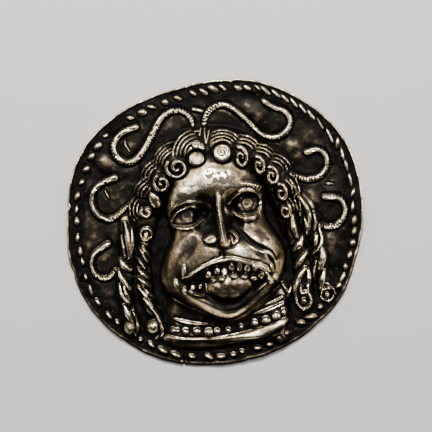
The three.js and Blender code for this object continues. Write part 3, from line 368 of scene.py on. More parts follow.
# The neck. A low collar, a row of round beads punched as a necklace and a thick band under it
# close the figure off above the rope.
neck = ease(-16.5, -12.5, X) * ease(25.5, 22.5, X) * ease(-40.5, -37.5, Y) * ease(-16, -24, Y)
sheet += np.where(face_share > 1, 2.6 * neck, 0)
collar = layer()
strand(collar,
       [(-17.4, -38.2), (-13.5, -39.7), (-9.8, -40.2), (-3, -40.3), (4, -39.5), (12.8, -37.3), (19, -35.2),
        (23.8, -32.6)],
       [1.3, 1.8, 1.9, 1.9, 1.9, 1.9, 1.7, 1.1], [0.9, 1.4, 1.5, 1.5, 1.5, 1.5, 1.4, 0.9], 0.55)
strand(collar, [(-13.4, -32.2), (-9, -33.4), (-2.6, -34.0)], [0.4, 0.8, 0.4], [0.6, 1.2, 0.4])
strand(collar, [(13.2, -30.6), (18, -29.0), (22.6, -27.0)], [0.4, 0.7, 0.7], [0.4, 1.1, 0.9])
strand(collar, [(16.8, -27.6), (20, -26.2), (22.4, -24.8)], [0.3, 0.5, 0.4], [0.2, 0.7, 0.5])
for x, y, radius in [
        (-14.2, -35.8, 1.0), (-12.6, -35.9, 0.8), (-9.8, -36.2, 1.1), (-6.0, -36.2, 1.2),
        (-2.1, -36.6, 1.45), (0.7, -36.2, 1.1), (4.4, -35.8, 0.9), (8.7, -34.6, 0.9), (13.2, -33.6, 1.3),
        (17.1, -32.8, 1.6), (20.4, -31.3, 1.6), (23.2, -29.7, 1.15)]:
    boss(collar, x, y, 1.12 * radius, height=1.2, roundness=0.55)
chase(sheet, collar, 0.3)

# The snakes. Six bodies loop through the field, two from the crown and two at each side. They
# are raised as round cords, thin at the root, and their scales are ticked in with a small punch.
snakes = layer()
# Way of each body from its root to its head, and its half widths
bodies = [([(-7.5, 32.5), (-8.3, 34.8), (-10.3, 36.8), (-12.8, 37.4), (-15.8, 36.6), (-18.2, 34.4),
            (-20, 31.4), (-21.8, 28), (-23.7, 24.5), (-25.9, 21.6), (-29, 20), (-32.1, 21.1), (-34, 23.6),
            (-34, 26.2), (-32.7, 28.6), (-30.6, 30.4), (-28.5, 31.2), (-26.6, 31.9)],
           [0.7, 0.9, 1.0, 1.1, 1.15, 1.15, 1.15, 1.1, 1.0, 1.15, 1.05]),
          ([(-3.8, 32.8), (-3.3, 35), (-1.8, 37.5), (0.5, 39), (3, 39.3), (5.5, 38.3), (8, 36.5),
            (10.5, 34.2), (13, 31.8), (15.5, 29.6), (18.5, 28.5), (21.5, 28.8), (24, 30.5), (25.2, 33),
            (24.8, 35.5), (23, 37.5), (20.6, 38.2), (18.6, 39.1), (16.2, 40.7)],
           [0.8, 1.0, 1.0, 1.0, 1.0, 0.9, 0.8, 0.9, 1.1, 1.1, 1.0, 0.9, 0.8, 0.9]),
          ([(-28.7, 6.3), (-30.6, 4.4), (-33, 2.2), (-36, 1.0), (-39, 2.3), (-41, 5.4), (-41.2, 9),
            (-39.4, 12), (-36.6, 13.8), (-33.6, 14.9)],
           [0.6, 0.9, 1.1, 1.05, 1.0, 1.0, 1.2]),
          ([(-33.2, -15.8), (-35, -18), (-37.5, -18.8), (-40, -17.3), (-41.3, -14.5), (-41, -11.5),
            (-39.1, -9.4), (-36, -7.2)],
           [0.8, 0.9, 0.9, 0.8, 0.9, 1.1]),
          ([(25.5, 16.5), (28, 15.1), (31.5, 14.4), (35, 15.4), (37.2, 18), (37.5, 21), (36.4, 23.4),
            (34.2, 24.4), (30.8, 23.6)],
           [0.7, 1.0, 1.1, 1.0, 1.0, 0.9, 1.1]),
          ([(34.0, 0.3), (36, -1.1), (38.5, -1.5), (41, -0.7), (43, 1.5), (43.7, 4.2), (43, 6.6),
            (41.3, 8.2), (36.8, 8.6)],
           [0.7, 0.9, 1.05, 1.1, 1.0, 0.8, 1.1, 1.1])]
for path, widths in bodies:
    strand(snakes, path, np.array(widths) * 1.1, [1.2, 1.6, 1.8], 0.55)
strand(snakes, [(-7.3, 37.9), (-4.6, 37.3)], 0.7, 1.2)
for scratch in [[(-30.3, 27.8), (-30.0, 25.6), (-28.7, 23.8)], [(-36.9, 10.6), (-35.6, 8.0)],
                [(37.0, 13.0), (39.6, 12.8)]]:
    strand(snakes, scratch, [0.2, 0.35, 0.2], [0.2, 0.5, 0.2])
chase(sheet, snakes, 0.42)
# Scales are ticked across each body near the root and along one flank after that, the other
# flank on the first snake; then a line is drawn along the head, and a few dents are left
scales = layer()
for body, (path, widths) in enumerate(bodies):
    line, along = curve(path, 0.1)
    travelled = np.concatenate([[0], np.cumsum(np.hypot(*np.diff(line, axis=0).T))])
    for distance in np.arange(0.8, travelled[-1] - 3.4, 0.95):
        here = min(np.searchsorted(travelled, distance), len(line) - 2)
        dx, dy = (line[here + 1] - line[here]) / np.hypot(*(line[here + 1] - line[here]))
        edge = distance > 9
        side = by_eye.normal(0.95, 0.08) * (1 if body else -1) if edge else by_eye.normal(0.1, 0.3)
        boss(scales, line[here][0] + side * dy, line[here][1] - side * dx, 0.32, 0.7 if edge else 1.15,
             math.degrees(math.atan2(dy, dx)) + by_eye.normal(14, 6), 0.95 if edge else 0.8, 0.9)
    head = line[np.searchsorted(travelled, travelled[-1] - 3.6):-8]
    strand(scales, head[::6], [0.15, 0.3, 0.15], [0.3, 0.5, 0.3], 1.0)
    for spot in by_eye.uniform(3, travelled[-1] - 3, int(travelled[-1] / 3.2)):
        here = np.searchsorted(travelled, spot)
        boss(scales, line[here][0] + by_eye.normal(0, 0.7), line[here][1] + by_eye.normal(0, 0.7), 0.9, 0.5,
             by_eye.uniform(0, 180), 0.4, 1.2)
sheet -= scales

# The hair. Locks are combed up and over behind a row of curls, and the curls are wound as
# spirals at the temples and left as flat discs beside the parting, where they are most worn.
locks = layer()
for x, y, rx, ry, turn in [
        (-16.4, 22.0, 3.4, 5.0, 40), (-8.6, 26.4, 3.6, 5.2, 20), (2.0, 27.0, 4.2, 5.4, 0),
        (9.8, 25.2, 3.0, 4.8, -20), (15.8, 22.6, 2.8, 4.6, -30), (20.4, 19.0, 2.6, 4.4, -40),
        (-21.6, 17.0, 2.8, 4.6, 45), (-24.6, 11.0, 2.6, 4.0, 60), (25.0, 11.6, 2.6, 5.0, -10)]:
    boss(locks, x, y, rx, ry, turn, 1.1, 0.7)
chase(sheet, locks, 0.2)
curls = layer()


def curl(x, y, rx, ry, turn, sense, start, turns=1.3):
    """A cord wound inwards as a spiral, on a low boss."""
    around = np.linspace(0, 1, 30)
    angle = math.radians(start) + sense * around * turns * 2 * math.pi
    wound = 1 - 0.78 * around
    u, v = (rx - 0.5) * wound * np.cos(angle), (ry - 0.5) * wound * np.sin(angle)
    cos, sin = math.cos(math.radians(turn)), math.sin(math.radians(turn))
    spiral = np.column_stack([x + u * cos - v * sin, y + u * sin + v * cos])
    strand(curls, spiral, [0.75, 0.7, 0.6], [1.6, 1.7, 1.4])
    boss(curls, x, y, 0.9 * rx, 0.9 * ry, turn, 0.4, 0.8)


curl(-12.6, 18.2, 4.3, 4.2, 0, 1, 150, 1.4)
curl(-17.6, 13.0, 3.4, 3.6, 0, 1, 130)
curl(-22.8, 3.4, 2.6, 2.4, 0, 1, 150, 0.9)
curl(8.6, 21.5, 2.9, 4.2, 8, -1, 100)
curl(14.6, 18.8, 2.5, 3.8, 12, -1, 100)
curl(18.9, 15.4, 2.8, 3.8, 12, -1, 100)
curl(22.2, 9.8, 2.5, 3.6, 10, -1, 100, 1.1)
curl(23.4, 3.9, 2.4, 3.4, 5, -1, 60, 1.1)
boss(curls, -20.0, 7.2, 1.9, 3.0, 30, 1.6, 0.45)
boss(curls, -6.1, 21.3, 2.7, 2.6, 0, 1.6, 0.25)
boss(curls, -5.6, 25.4, 2.5, 1.7, -35, 1.4, 0.35)
boss(curls, 2.3, 23.2, 2.9, 3.0, 0, 1.6, 0.22)
# Faint spiral on the worn disc right of the parting
faint = layer()
angle = np.linspace(0, 1.6 * 2 * math.pi, 30)
shrink = 2.0 - 0.17 * angle
spiral = np.column_stack([2.3 + shrink * np.cos(angle + 0.6), 23.2 + shrink * np.sin(angle + 0.6)])
strand(faint, spiral, 0.24, 0.24)
curls -= faint
# Both discs at the parting lie on ground that is levelled for them
for x, y, radius in [(-6.1, 21.3, 3.0), (2.3, 23.2, 3.3)]:
    place = under(x, y, radius + 0.6)
    flat = ease((radius + 0.5) ** 2, (radius - 0.2) ** 2, (X[place] - x) ** 2 + (Y[place] - y) ** 2)
    level = sheet[place][X[place].shape[0] // 2, X[place].shape[1] // 2] + 0.28 * (y - Y[place])
    sheet[place] = flat * level + (1 - flat) * sheet[place]
chase(sheet, curls, 0.42)
# Hair strands in arcs round each curl: middle, radii, how many, and where the arcs start and stop
strands = layer()
for x, y, near, far, count, start, stop, stretch in [
        (-6.4, 22.6, 3.8, 7.6, 4, 200, 92, 1.1), (2.4, 23.6, 3.9, 7.2, 4, 135, 35, 1),
        (8.8, 22.2, 4.4, 7.0, 3, 105, 20, 1), (14.6, 19.6, 4.1, 6.6, 3, 105, 20, 1),
        (19.0, 16.4, 4.1, 6.6, 3, 98, 10, 1), (-12.8, 19.0, 4.8, 8.0, 4, 190, 98, 1),
        (-18.0, 14.4, 4.2, 6.8, 3, 190, 100, 1), (-21.0, 9.0, 3.6, 6.2, 3, 195, 105, 1),
        (-23.0, 4.4, 3.2, 5.6, 3, 235, 135, 1), (22.0, 10.6, 3.8, 6.2, 3, 55, -35, 1),
        (23.0, 4.6, 3.4, 5.6, 3, 55, -30, 1.1)]:
    for k, radius in enumerate(np.linspace(near, far, count)):
        lean = by_eye.normal(0, 5) - 3 * k
        angle = np.radians(np.linspace(start + lean, stop + lean, 9))
        strand(strands, np.column_stack([x + radius * np.cos(angle), y + radius * stretch * np.sin(angle)]),
               [0.2, 0.4, 0.48, 0.4, 0.2], [0.3, 1.4, 1.8, 1.3, 0.2], 0.6)
for tuft in [
        [(-6.8, 30.4), (-5.0, 30.8)], [(-3.6, 31.4), (-3.4, 28.6), (-3.0, 26.4)],
        [(-2.0, 30.6), (-2.6, 27.4)], [(-4.8, 31.6), (-5.2, 29.2)]]:
    strand(strands, tuft, [0.45, 0.4], [1.2, 0.8])
sheet += np.where(curls > 0.03, 0, strands)

# The tresses. Two twisted locks hang at each side of the face and end in a round curl. Each has
# a low bed raised from behind and separate strands laid over it from the front.
beds = layer()
for path, widths in [
        ([(-30.2, 1.0), (-29.4, -8), (-30.2, -16), (-30.2, -24), (-28.8, -31), (-28.3, -35)],
         [1.8, 2.9, 3.0, 3.0, 2.8, 2.6]),
        ([(-23.4, -6), (-23.9, -14), (-23.6, -20), (-22.2, -26), (-19.6, -32), (-20.6, -35)],
         [1.8, 2.5, 2.9, 2.6, 2.3, 2.6]),
        ([(25.6, 5), (27.2, -5), (28.6, -11), (29.4, -17), (29.6, -22), (30.0, -26)],
         [2.2, 2.9, 3.0, 3.4, 3.6, 3.4]),
        ([(27.0, 11), (31.0, 4), (33.6, -4), (34.8, -10), (35.8, -16), (36.8, -22)],
         [2.0, 3.0, 2.8, 2.6, 2.2, 2.4])]:
    strand(beds, path, widths, 1.8, 0.8)
sheet += beds * (1 - in_face)
plaits = layer()
for path, widths in [
        ([(-30.1, -0.2), (-29.4, -4.2), (-28.8, -8), (-28.6, -11.6)], [0.5, 1.0, 1.3, 0.9]),
        ([(-27.9, -1.8), (-27.5, -6), (-27.8, -10)], [0.4, 0.9, 0.6]),
        ([(-31.4, -4.6), (-30.8, -8), (-30.2, -11.4)], [0.4, 0.8, 0.6]),
        ([(-31.9, -12.4), (-30.6, -14.2), (-28.4, -15.8)], [0.8, 1.3, 0.9]),
        ([(-32.3, -16.0), (-31.0, -18.8), (-28.5, -22.3)], [0.6, 1.1, 0.8]),
        ([(-32.0, -20.8), (-31.2, -24.0), (-28.8, -27.2)], [0.6, 0.9, 0.5]),
        ([(-30.6, -21.2), (-29.6, -23.8), (-28.3, -27.0)], [0.4, 0.8, 0.5]),
        ([(-30.4, -27.6), (-29.2, -30.2), (-27.8, -33.2)], [0.6, 1.3, 0.9]),
        ([(-27.4, -29.6), (-26.1, -32.6), (-25.8, -35.6), (-26.8, -38.0)], [0.5, 0.7, 0.7, 0.4]),
        ([(-25.5, -8.4), (-24.1, -10.4), (-22.3, -13.2)], [0.5, 0.75, 0.5]),
        ([(-24.5, -8.0), (-22.8, -10.0), (-21.6, -12.0)], [0.4, 0.6, 0.4]),
        ([(-26.2, -12.0), (-24.6, -13.6), (-23.2, -15.4)], [0.4, 0.7, 0.4]),
        ([(-26.0, -15.2), (-24.2, -17.0), (-22.3, -18.6)], [0.5, 1.0, 0.6]),
        ([(-26.0, -18.2), (-23.8, -19.8), (-21.6, -21.6)], [0.5, 1.0, 0.6]),
        ([(-25.9, -21.4), (-23.2, -24.4), (-20.8, -27.8)], [0.5, 0.95, 0.6]),
        ([(-24.2, -21.2), (-22.2, -23.4), (-20.4, -25.4)], [0.4, 0.75, 0.4]),
        ([(-24.2, -25.0), (-22.4, -27.0), (-21.0, -29.2)], [0.4, 0.8, 0.5]),
        ([(-21.4, -28.0), (-19.3, -31.0), (-17.9, -34.4), (-17.8, -37.2), (-19.6, -39)],
         [0.5, 0.8, 0.85, 0.7, 0.4]),
        ([(25.9, 2.2), (26.3, -1.4), (27.4, -4.6)], [0.8, 1.35, 0.9]),
        ([(29.5, -4.6), (28.4, -7.0), (26.2, -9.4)], [0.8, 1.35, 0.7]),
        ([(31.0, -9.4), (28.9, -12.2), (26.8, -14.9)], [0.7, 1.25, 0.7]),
        ([(30.2, -15.2), (28.0, -18.4), (26.7, -22.2), (27.4, -26.6), (29.6, -29.4)],
         [0.8, 1.4, 1.1, 0.75, 0.4]),
        ([(28.6, -21.2), (28.9, -23.4), (31.0, -23.2), (32.3, -25.6), (31.4, -28.0), (29.8, -29.2)],
         [0.5, 0.75, 0.7, 0.7, 0.65, 0.5]),
        ([(31.3, -15.8), (31.6, -18.4), (31.6, -20.8)], [0.7, 1.2, 0.6]),
        ([(30.9, -20.6), (31.4, -22.4)], [0.5, 0.5]),
        ([(33.6, -13.2), (33.2, -16.4), (33.4, -19.4)], [0.4, 0.7, 0.4]),
        ([(27.0, 9.8), (29.7, 6.6), (31.5, 2.6), (31.6, -2.2)], [0.5, 0.8, 0.95, 0.6]),
        ([(27.0, 5.8), (28.5, 2.8), (29.0, -0.4)], [0.4, 0.8, 0.5]),
        ([(25.0, 14.5), (27.0, 11), (29.0, 7)], [0.3, 0.5, 0.3]),
        ([(29.9, 1.4), (30.6, -1.4), (30.8, -4.0)], [0.6, 1.1, 0.7]),
        ([(33.0, 3.4), (33.6, 0.4), (33.2, -2.4)], [0.4, 0.8, 0.5]),
        ([(35.0, -1.8), (35.9, -5.2), (34.8, -8.4), (32.4, -10.6)], [0.6, 0.8, 0.85, 0.5]),
        ([(33.9, -4.2), (33.5, -7.4)], [0.9, 0.8]),
        ([(35.6, -8.4), (36.3, -11.6), (35.1, -15.2)], [0.9, 1.6, 0.9]),
        ([(36.5, -16.2), (36.0, -18.8), (35.3, -21.6)], [0.8, 1.2, 0.8]),
        ([(37.2, -20.6), (39.4, -21.8), (40.4, -24.0)], [0.4, 0.6, 0.4]),
        ([(22.5, -20.2), (24.5, -23.2)], [0.6, 0.7]), ([(25.5, -21.4), (24.6, -24.5)], [0.6, 0.7])]:
    strand(plaits, path, widths, [1.3, 2.0, 1.3])
# Curled ends: two full knobs, and two rings with a bead in them
for x, y, radius in [(-28.4, -35.4, 2.6), (-21.0, -34.7, 2.6)]:
    boss(plaits, x, y, radius, height=1.6, roundness=0.6)
for x, y, radius in [(37.6, -24.0, 2.1), (-23.0, -3.9, 1.9)]:
    for angle in np.radians(np.arange(0, 360, 10)):
        boss(plaits, x + radius * math.cos(angle), y + radius * math.sin(angle), 0.6, height=1.2)
    boss(plaits, x, y, 1.2, height=1.7)
boss(plaits, 29.9, -25.9, 0.9, height=1.3)
chase(sheet, plaits, 0.45)

# The finished sheet. Its edge is turned up in a thin lip, the field keeps the unrest of the
# hammer, and the back follows the front one sheet thickness behind, hollow under the head.


def hammered(seed, size):
    """Even random unrest of a given size, between about -1 and 1."""
    unrest = soften(np.random.default_rng(seed).standard_normal(X.shape), size)
    return unrest / (3 * unrest.std())


sheet = soften(sheet, 0.13)
sheet += (0.5 * hammered(3, 2.6) + 0.24 * hammered(4, 0.9)) * (1 - 0.7 * in_face)
crack = layer()
strand(crack, [(-10.2, -43.0), (-10.5, -45.2), (-10.3, -48.0)], [0.2, 0.24, 0.3], [0.2, 0.5, 0.6])
sheet -= crack
sheet += (0.12 + 0.22 * ease(-25, 10, Y)) * np.exp(-((inset - 0.45) / 0.32) ** 2)
# Millimetres: the sheet's thickness, how deep a line may cut, the bevel, and the gap to the solid's box
thickness = 0.9
deepest = 0.4
bevel = 0.35
clear = 0.02
low, high = (np.array(corner) * 1000 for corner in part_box("gorgon_disc"))
front = thickness + np.maximum(sheet, -deepest) * (high[2] - clear - thickness) / sheet.max()
front = np.where(inset < bevel, front - 0.4 * (1 - np.clip(inset / bevel, 0, 1)) ** 2, front)


def roll_ball(rise, radius):
    """Lowers a map by a ball that is rolled under it."""
    reach = int(radius / PITCH)
    out = np.full_like(rise, np.inf)
    for down in range(-reach, reach + 1):
        for along in range(-reach, reach + 1):
            square = radius ** 2 - (down ** 2 + along ** 2) * PITCH ** 2
            if square >= 0:
                moved = np.roll(rise, (down, along), (0, 1)) - math.sqrt(square)
                out = np.minimum(out, moved)
    return out


# A ball whose radius is the sheet's thickness is rolled under the front; narrower forms stay off the back
back = roll_ball(np.where(inset < 1.2, thickness, front), thickness)
back = soften(back, 0.35) - 0.1
back = np.where(inset < 2.5, np.minimum(back, 0), back)
back = np.clip(back, 0, None)
back = np.where(inset < 0.5, back + 0.25 * (1 - np.clip(inset / 0.5, 0, 1)) ** 2, back)


def sample(rise, x, y):
    """Value of a map at places in hundredths."""
    u, v = (x + REACH) / PITCH, (y + REACH) / PITCH
    i, j = np.floor(u).astype(int), np.floor(v).astype(int)
    fu, fv = u - i, v - j
    return ((rise[j, i] * (1 - fu) + rise[j, i + 1] * fu) * (1 - fv)
            + (rise[j + 1, i] * (1 - fu) + rise[j + 1, i + 1] * fu) * fv)


def raise_sheet(name, rise, cells, keep):
    """A square grid drawn out to the disc's outline, raised to a map and thinned where it is plain."""
    bpy.ops.mesh.primitive_grid_add(x_subdivisions=cells, y_subdivisions=cells, size=2)
    side = bpy.context.object
    side.name = name
    co = np.empty(len(side.data.vertices) * 3)
    side.data.vertices.foreach_get("co", co)
    u, v = co.reshape(-1, 3)[:, 0], co.reshape(-1, 3)[:, 1]
    wide = np.abs(u) > np.abs(v)
    safe_u, safe_v = np.where(u == 0, 1, u), np.where(v == 0, 1, v)
    radius = np.where(wide, u, v)
    angle = np.where(wide, math.pi / 4 * v / safe_u, math.pi / 2 - math.pi / 4 * u / safe_v)
    x, y = radius * np.cos(angle), radius * np.sin(angle)
    reach = outline(np.arctan2(y, x))
    x, y = x * reach, y * reach
    z = sample(rise, x, y)
    placed = np.column_stack([x, y, z])
    angles = np.linspace(0, 2 * math.pi, 721)[:-1]
    around = radius_at(EDGE, angles)
    ends = np.column_stack([around * np.cos(angles), around * np.sin(angles)])
    for axis in (0, 1):
        span = ends[:, axis].max() - ends[:, axis].min()
        middle = (ends[:, axis].max() + ends[:, axis].min()) / 2
        wanted = high[axis] - low[axis] - clear
        placed[:, axis] = (placed[:, axis] - middle) * wanted / span + (high[axis] + low[axis]) / 2
    side.data.vertices.foreach_set("co", (placed / 1000).ravel())
    side.data.update()
    thin = side.modifiers.new("thin", "DECIMATE")
    thin.ratio = keep
    bpy.ops.object.modifier_apply(modifier="thin")
    co = np.empty(len(side.data.vertices) * 3)
    side.data.vertices.foreach_get("co", co)
    side.data.vertices.foreach_set("co", np.clip(co.reshape(-1, 3), low / 1000, high / 1000).ravel())
    return side


face_side = raise_sheet("gorgon_face", front, 640, 0.18)
faced = len(face_side.data.vertices)
back_side = raise_sheet("gorgon_back", back, 300, 0.16)
bpy.ops.object.mode_set(mode="EDIT")
bpy.ops.mesh.select_all(action="SELECT")
bpy.ops.mesh.flip_normals()
bpy.ops.object.mode_set(mode="OBJECT")
face_side.select_set(True)
back_side.select_set(True)
bpy.context.view_layer.objects.active = face_side
bpy.ops.object.join()
disc = bpy.context.object
bpy.ops.object.mode_set(mode="EDIT")
bpy.ops.mesh.select_mode(type="EDGE")
bpy.ops.mesh.select_all(action="DESELECT")
bpy.ops.mesh.select_non_manifold(extend=False, use_wire=False, use_boundary=True, use_multi_face=False,
                                 use_non_contiguous=False, use_verts=False)
bpy.ops.mesh.bridge_edge_loops()
bpy.ops.mesh.quads_convert_to_tris()
bpy.ops.object.mode_set(mode="OBJECT")
bpy.ops.object.shade_smooth_by_angle(angle=math.radians(50))

# What the eye reads as age: silver rubbed bright on all that stands proud and black with
# sulphide in all that lies deep. Both are measured off the relief and kept on the sheet. Dirt,
# painted shade and painted highlights are laid on in one more map, much of it in spots.
points = np.empty(len(disc.data.vertices) * 3)
disc.data.vertices.foreach_get("co", points)
points = points.reshape(-1, 3) * 1000
x, y = points[:, 0], points[:, 1]
# Sulphide and painted shade darken the open mouth, the ground off the face, the band inside the rim and the
# hair roll; the turned lip gets a painted highlight, strongest towards the crown
grime_and_painted_light = 0.14 * opened * (teeth < 0.3) + 0.11 * (1 - in_face) + 0.16 * ease(7, 5, inset)
painted_lip_highlight = 0.6 * ease(-25, 10, Y) * np.exp(-((inset - 0.35) / 0.4) ** 2)
grime_and_painted_light += 0.09 * ease(2.0, 5.0, hair) * (1 - in_face) - painted_lip_highlight
# Painted shade down the wall of the mouth and along both sides of the nose
wall_shade = layer()
strand(wall_shade,
       [(-9.6, -17.8), (-9.8, -21.0), (-7.6, -23.4), (-3, -25.6), (1, -27.2), (5, -28.0), (8.8, -26.8),
        (12.6, -23.8), (17.2, -19.8)],
       [0.9, 1.1, 1.3, 1.7, 2.0, 2.1, 2.0, 1.7, 1.0], [0.4, 0.4, 0.35, 0.45, 0.5, 0.55, 0.55, 0.45, 0.3])
strand(wall_shade, [(0.1, 8), (-0.4, 3), (0.2, -2), (1.2, -6)], [0.8, 1.0, 1.1, 1.1], [0.3, 0.4, 0.4, 0.3])
strand(wall_shade, [(2.4, 7), (3.0, 2), (4.1, -2.5), (4.9, -5.6)], [0.7, 0.9, 1.0, 0.8], [0.3, 0.35, 0.35, 0.2])
grime_and_painted_light += wall_shade
# Spots of painted shade, and with a minus spots of painted highlight; a few of the dark ones also hold dirt
painted_light_spots = [(-9.8, 3.0, 7.4, 4.0, 8, 0.2), (11.2, 6.8, 6.4, 3.8, 4, 0.22), (-3.4, 6.4, 4.6, 5, 24, 0.14),
         (5.0, 7.6, 3.6, 4.6, -10, 0.14), (-3.4, 0, 3, 6, 10, 0.1), (6.2, 0, 3, 5, 8, 0.1),
         (2.6, -8.2, 2.8, 1.4, 0, 0.26), (11.5, -6.5, 7, 3.0, -35, 0.12), (-12, -23, 11, 6, -35, 0.24),
         (15.5, -23, 9, 5, 42, 0.26), (4, -26.4, 9, 2.6, 0, 0.2), (-17, -10, 4, 13, 8, 0.16),
         (-12.5, -11, 8, 9, 10, 0.16), (-14.5, -4.5, 4.5, 6, 0, 0.12), (9.4, -9.6, 4.5, 2.4, -20, -0.12),
         (11, 2.0, 4.4, 1.9, 8, -0.45), (0, 15.5, 10, 5, 5, -0.12), (-10.5, 12, 5, 4, 45, -0.12),
         (16, -5, 7, 4.5, -40, 0.26), (-4, -11, 7, 4.5, 25, 0.24), (-9.6, 2.0, 4.2, 2.9, 8, 0.08),
         (3.3, -7.4, 1.7, 1.2, 0, 0.35), (-11.0, 8.6, 5, 3.2, 18, -0.16), (10.8, 6.2, 2.2, 2.4, 0, -0.08),
         (21, -12, 3, 8, 0, 0.14), (-8.6, -6.5, 3.0, 5, -35, 0.08), (3, -32.5, 14, 2.4, 0, 0.14),
         (14, 36, 7, 4, -40, 0.12), (-35, 18.5, 7.5, 3.5, -30, 0.08), (31.5, 7.5, 5, 4.5, -20, -0.12),
         (37, -8, 4.5, 9, 0, -0.1), (-28.4, -35.4, 3, 3, 0, 0.16), (-21, -34.7, 3, 3, 0, 0.16),
         (2, 9, 2.2, 3.4, 0, -0.06)]
for spot in painted_light_spots:
    swell(grime_and_painted_light, *spot)
# Where the brown crust sits
stain = layer()
for spot in [
        (-1, 14.0, 9, 4.6, 10, 1.15), (4.5, 12.8, 5, 3, -20, 1.2), (16.6, -5.0, 5.4, 3.0, -35, 1.5),
        (-8, -3, 4, 3, -30, 0.5), (14, 35, 6, 4, -40, 0.6), (36, 9, 8, 3, 0, 0.6), (5, -22, 6, 4, 0, 0.5)]:
    swell(stain, *spot)
behind = np.arange(len(x)) >= faced
fine = sample(front - soften(front, 0.5), x, y)
broad = sample(front - soften(front, 2.0), x, y)
fine[behind] = sample(soften(back, 0.5) - back, x, y)[behind]
broad[behind] = sample(soften(back, 2.0) - back, x, y)[behind]
kept = {"proud_fine": fine, "proud_broad": broad}
kept["rise"] = np.where(behind, 0.3, points[:, 2] / high[2])
kept["grime_and_painted_light"] = np.where(behind, 0.12, sample(grime_and_painted_light, x, y))
kept["stain"] = np.where(behind, 0.3, sample(stain, x, y))
for name, values in kept.items():
    attribute = disc.data.attributes.new(name, "FLOAT", "POINT")
    attribute.data.foreach_set("value", values.astype(np.float32))

# Tarnished silver, hammered, chased and never polished since. It gives the eye warm bright
# metal on the crests, brown to black sulphide in the hollows with painted shade and painted
# highlights laid over them, and a fine unrest everywhere, with a matt brown crust in crumbs
# where it was never rubbed.
silver = bpy.data.materials.new("tarnished_silver")
silver.use_nodes = True
silver.node_tree.nodes.clear()


def add(kind, settings=None, links=None):
    """Adds a node with its settings, and links its inputs, by name or number, from other nodes' outputs."""
    made = silver.node_tree.nodes.new(kind)
    for name, value in (settings or {}).items():
        if isinstance(name, int) or name in made.inputs:
            made.inputs[name].default_value = value
        else:
            setattr(made, name, value)
    for name, source in (links or {}).items():
        silver.node_tree.links.new(source, made.inputs[name])
    return made


def linear(code):
    """An sRGB hex value as a linear colour."""
    parts = [int(code[k:k + 2], 16) / 255 for k in (0, 2, 4)]
    return tuple(v / 12.92 if v <= 0.04045 else ((v + 0.055) / 1.055) ** 2.4 for v in parts) + (1.0,)


where = add("ShaderNodeTexCoord").outputs["Object"]
fine_in = add("ShaderNodeAttribute", {"attribute_name": "proud_fine"}).outputs["Fac"]
broad_in = add("ShaderNodeAttribute", {"attribute_name": "proud_broad"}).outputs["Fac"]
rise_in = add("ShaderNodeAttribute", {"attribute_name": "rise"}).outputs["Fac"]
cloud = add("ShaderNodeTexNoise", {"Scale": 1 / 0.009, "Detail": 6.0, "Roughness": 0.6}, {"Vector": where})
grain = add("ShaderNodeTexNoise", {"Scale": 1 / 0.0011, "Detail": 5.0, "Roughness": 0.65},
            {"Vector": where})
cloud, grain = cloud.outputs["Fac"], grain.outputs["Fac"]
grime_and_painted_light_in = add("ShaderNodeAttribute", {"attribute_name": "grime_and_painted_light"}).outputs["Fac"]
stain_in = add("ShaderNodeAttribute", {"attribute_name": "stain"}).outputs["Fac"]
# How far each spot is rubbed bright, with the painted shade and painted highlights added in, from 0 for
# black to 1
worn_and_painted_light = add("ShaderNodeMath", {"operation": "MULTIPLY_ADD", 1: 1.9, 2: -0.09}, {0: fine_in}).outputs[0]
for source, share in [(broad_in, 0.24), (rise_in, 0.2), (cloud, 0.52), (grain, 0.5), (grime_and_painted_light_in, -1.5)]:
    worn_and_painted_light = add("ShaderNodeMath", {"operation": "MULTIPLY_ADD", 1: share}, {0: source, 2: worn_and_painted_light}).outputs[0]
tone = add("ShaderNodeValToRGB", links={"Fac": worn_and_painted_light})
tone.color_ramp.elements[0].position = 0.08
tone.color_ramp.elements[0].color = linear("0b0806")
tone.color_ramp.elements[1].position = 0.9
tone.color_ramp.elements[1].color = linear("f8e7c8")
for place, code in [(0.28, "241f19"), (0.44, "5d513e"), (0.62, "b49f7d")]:
    stop = tone.color_ramp.elements.new(place)
    stop.color = linear(code)
sheen = add("ShaderNodeMapRange", {"From Min": 0.25, "From Max": 0.8, "To Min": 0.5, "To Max": 0.25},
            {"Value": worn_and_painted_light})
metal = add("ShaderNodeMapRange", {"From Min": 0.15, "From Max": 0.5, "To Min": 0.88, "To Max": 1.0},
            {"Value": worn_and_painted_light})
# Dents of the hammer, pits and grain, all too shallow for the mesh
dents = add("ShaderNodeTexNoise", {"Scale": 1 / 0.0022, "Detail": 4.0, "Roughness": 0.6}, {"Vector": where})
pits = add("ShaderNodeTexVoronoi", {"Scale": 1 / 0.0009}, {"Vector": where})
pitted = add("ShaderNodeMath", {"operation": "MULTIPLY", 1: 0.12}, {0: pits.outputs["Distance"]}).outputs[0]
grained = add("ShaderNodeMath", {"operation": "MULTIPLY_ADD", 1: 0.6}, {0: grain, 2: pitted}).outputs[0]
relief = add("ShaderNodeMath", {"operation": "ADD"}, {0: dents.outputs["Fac"], 1: grained}).outputs[0]
bump = add("ShaderNodeBump", {"Strength": 0.5, "Distance": 0.00022}, {"Height": relief})
